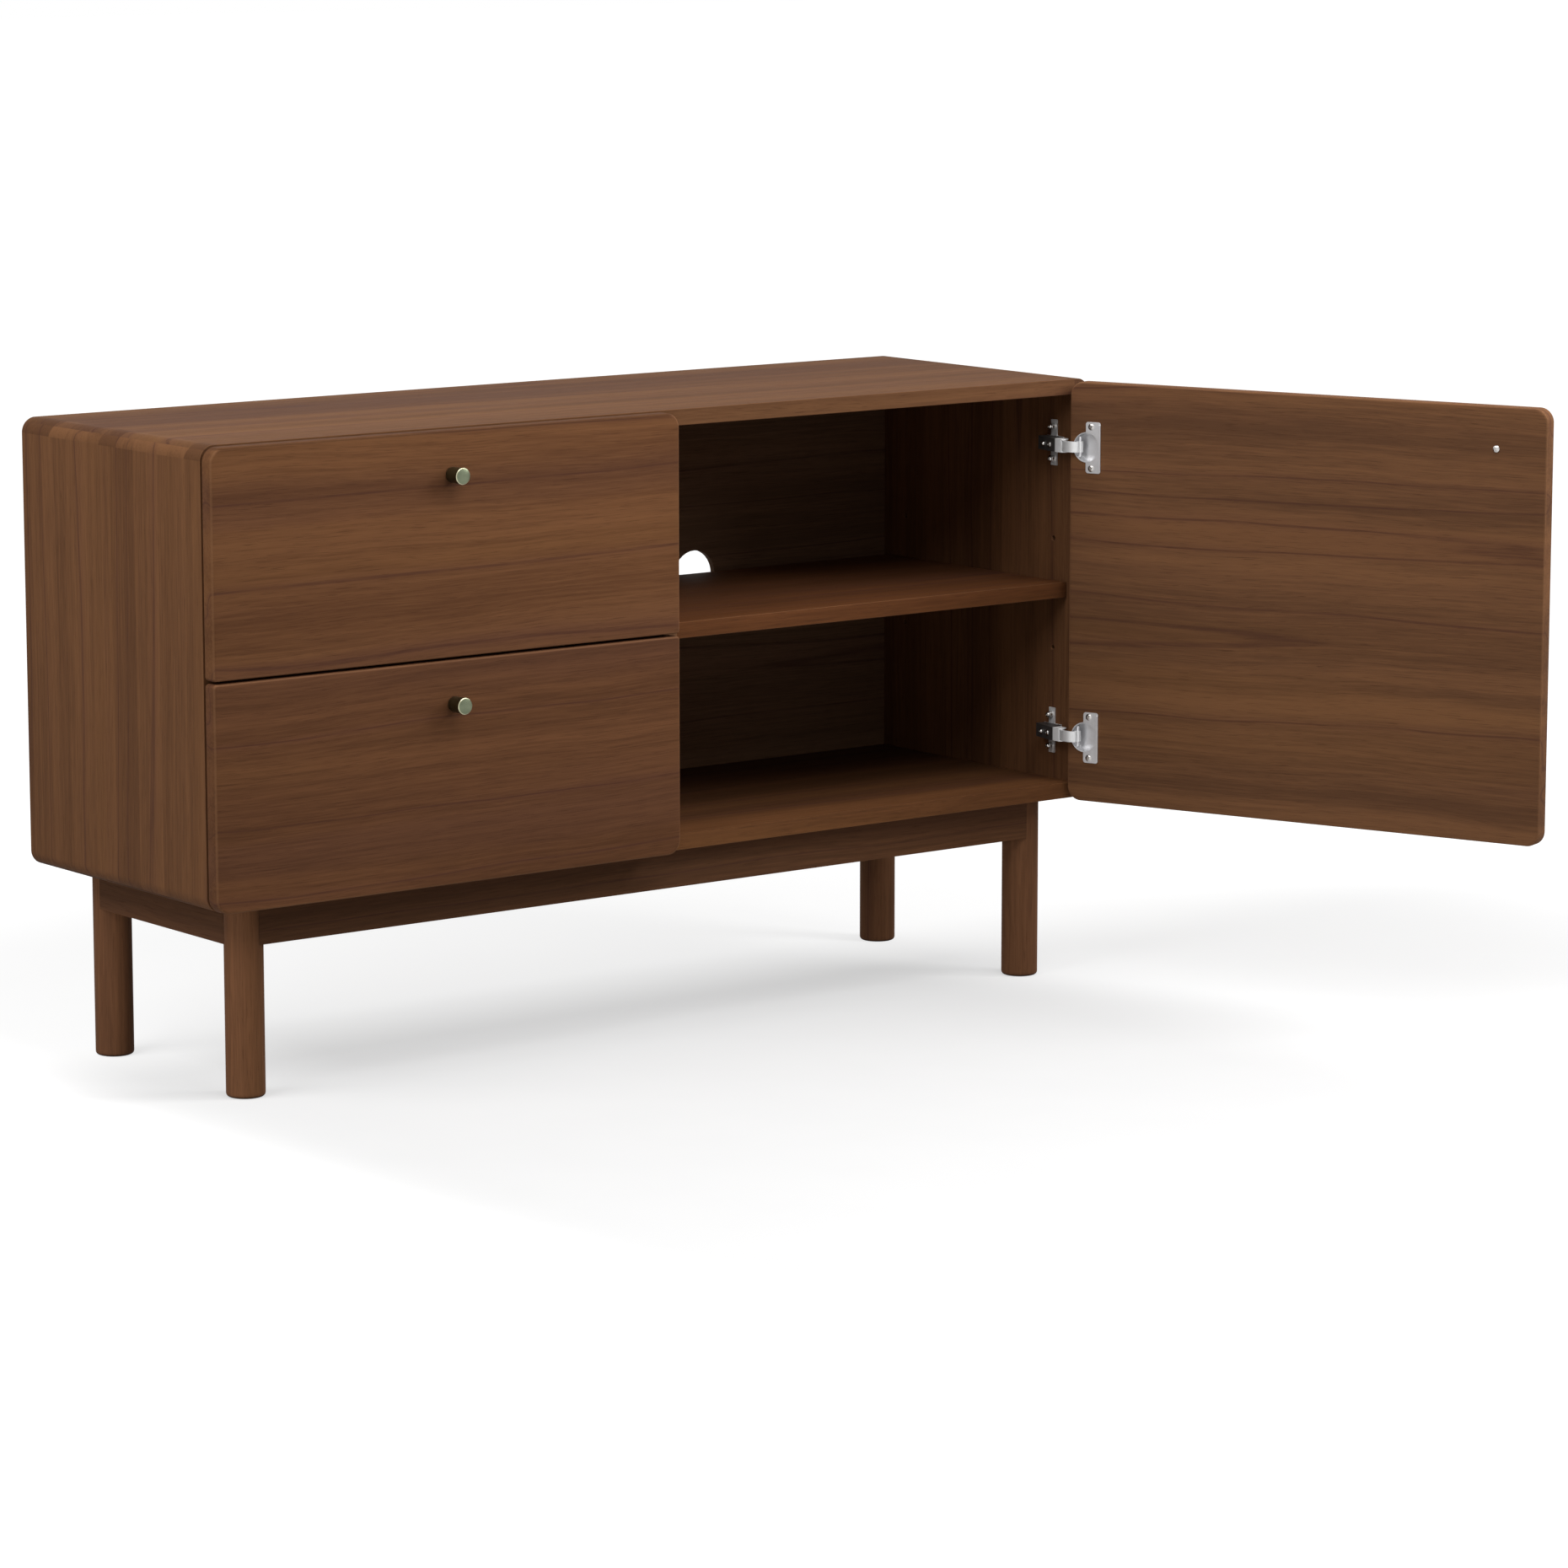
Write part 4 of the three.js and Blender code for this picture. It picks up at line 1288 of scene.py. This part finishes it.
for name, body, points, way, sizes, seed in SCREW_SETS:
    values = dict(zip(SCREW_SIZES, sizes))
    values |= {"Seed": seed, "Finish": STEEL_OF.get(name, SCREW_STEEL)}
    piece = screw_tree.make(name, screw_points(name, points, way), values)
    piece.data.set_sharp_from_angle(angle=SCREW_SHARP)
    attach(piece, body)
    print(name, len(points), "screws,", len(piece.data.polygons), "faces")


# %% [markdown]
# ## Studio floor
# The cabinet stands on a pale floor that fades into white. Light enough to make the floor
# white would bleach the wood. So the floor is a plain grey to the light, and it glows to the
# camera and to reflections alone. The glow is weaker near the cabinet, where the shadow has to
# show, and so paints part of the shadow's shape as painted shade; it is a little stronger
# behind it, on its right and far in front, and full where the floor leaves the picture.

# %% Floor
FLOOR_SPECKLE, FLOOR_DARK, FLOOR_LIGHT = 9, (162, 162, 162), (166, 166, 166)
FLOOR_GLOW, REAR_GLOW, RIGHT_GLOW, FRONT_GLOW = 0.51, 0.26, 0.13, 0.075
REAR_Y, FRONT_Y = (0.18, 0.46), (-0.15, -0.9)
RIGHT_X, RIGHT_Y = (0.3, 0.6), (0.46, 0.18)
FAR_RADIUS, LEFT_X = (0.85, 1.9), (-0.62, -0.95)
FLOOR_HALF = 30.0
floor_finish = Finish("pale_floor")
x, y, z = floor_finish.place()
speckle = floor_finish.noise((x * FLOOR_SPECKLE, y * FLOOR_SPECKLE, z))
# The glow's shape paints part of the shadow: weaker near the cabinet, stronger behind it, on
# its right and in front
near = FLOOR_GLOW + REAR_GLOW * y.between(*REAR_Y)
near = near + RIGHT_GLOW * (x.between(*RIGHT_X) * y.between(*RIGHT_Y))
near = near + FRONT_GLOW * y.between(*FRONT_Y)
far = ((x * x + y * y) ** 0.5).between(*FAR_RADIUS)
away = (far + x.between(*LEFT_X)).between(0.0, 1.0)
glow = floor_finish.white_to_the_eye() * (near + (1.0 - near) * away)
floor_finish.shade(
    Base_Color=floor_finish.mix(speckle, colour(*FLOOR_DARK), colour(*FLOOR_LIGHT)),
    Roughness=0.9,
    Specular_IOR_Level=0.0,
    Emission_Color=floor_finish.mix(glow, BLACK, WHITE),
    Emission_Strength=1.0,
)
floor_mesh = bpy.data.meshes.new("floor")
floor_corners = [(-1, -1), (1, -1), (1, 1), (-1, 1)]
floor_mesh.from_pydata(
    [(a * FLOOR_HALF, b * FLOOR_HALF, 0) for a, b in floor_corners], [], [(0, 1, 2, 3)]
)
floor_mesh.materials.append(floor_finish.material)
floor = object_of("floor", floor_mesh)
floor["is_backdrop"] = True
print("floor:", 2 * FLOOR_HALF, "m wide")

# %% [markdown]
# ## Studio light
# One soft box hangs high in front, one stands on the right beyond the open door, which
# keeps its light out of the cupboard, and one fills from the left. A small one stands low
# on the left and lights only the legs, so that they look round. The room gives the rest:
# it is white to the camera and to reflections, and throws only a low, even light.

# %% Room light
ROOM_LIGHT = 0.23
world = bpy.data.worlds.new("white_room")
bpy.context.scene.world = world
room = ShaderTree(world, "Background")
white = room.white_to_the_eye()
room.shade(Color=WHITE, Strength=ROOM_LIGHT + (1.0 - ROOM_LIGHT) * white)
print("room light:", ROOM_LIGHT)


# %% Soft boxes
def soft_box(name, place, target, size, power, only=()):
    data = bpy.data.lights.new(name, "AREA")
    data.shape = "RECTANGLE"
    data.size, data.size_y = size
    data.energy = power
    lamp = object_of(name, data)
    lamp.location = place
    lamp.visible_camera = False
    aim = Vector(target) - Vector(place)
    lamp.rotation_euler = aim.to_track_quat("-Z", "Y").to_euler()
    if only:
        lit = bpy.data.collections.new(name + "_lights")
        for piece in only:
            lit.objects.link(piece)
        lamp.light_linking.receiver_collection = lit
    print(name, power, "W at", place)


soft_box("soft_box_front", (0.1, -0.95, 1.95), (0.0, 0.05, 0.45), (2.0, 0.8), 24)
soft_box("soft_box_right", (1.7, -1.5, 1.65), (-0.2, 0.1, 0.5), (0.9, 0.9), 30)
soft_box("soft_box_left", (-2.3, 0.1, 2.2), (-0.5, 0.1, 0.45), (1.8, 1.2), 41)
soft_box("soft_box_legs", (-2.5, -0.6, 0.35), (-0.4, 0.2, 0.1), (0.5, 0.3), 18, only=[legs])

# %% [markdown]
# ## Camera
# The camera stands about six metres away with a long lens, left of the middle and a
# little above the cabinet, and looks slightly down. The place and the lens were worked
# out from the cabinet's edges in the picture. It has no shift, so that the cabinet stays
# in the frame from other sides.

# %% The camera
CAMERA_PLACE = (-3.7881548, -4.8812953, 1.3239429)
CAMERA_LENS, CAMERA_SENSOR = 131.2886, 36.0
CAMERA_DOWN = 9.5153
CAMERA_YAW = 37.6781
CAMERA_FAR = 200
camera_data = bpy.data.cameras.new("camera")
camera_data.sensor_width = CAMERA_SENSOR
camera_data.lens = CAMERA_LENS
camera_data.clip_end = CAMERA_FAR
camera = object_of("camera", camera_data)
camera.location = CAMERA_PLACE
camera.rotation_euler = (math.radians(90 - CAMERA_DOWN), 0, math.radians(-CAMERA_YAW))
bpy.context.scene.camera = camera
bpy.context.scene.view_settings.view_transform = "Standard"
print("camera:", round(Vector(CAMERA_PLACE).length, 2), "m from the middle of the floor")

# %% [markdown]
# ## Size
# The dressed cabinet should be as large as its solids. Only the screw heads on the back stand
# proud. The box of the dressed cabinet is printed.

# %% Size and finish
low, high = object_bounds()
print("visual box:", rounded(low), rounded(high))
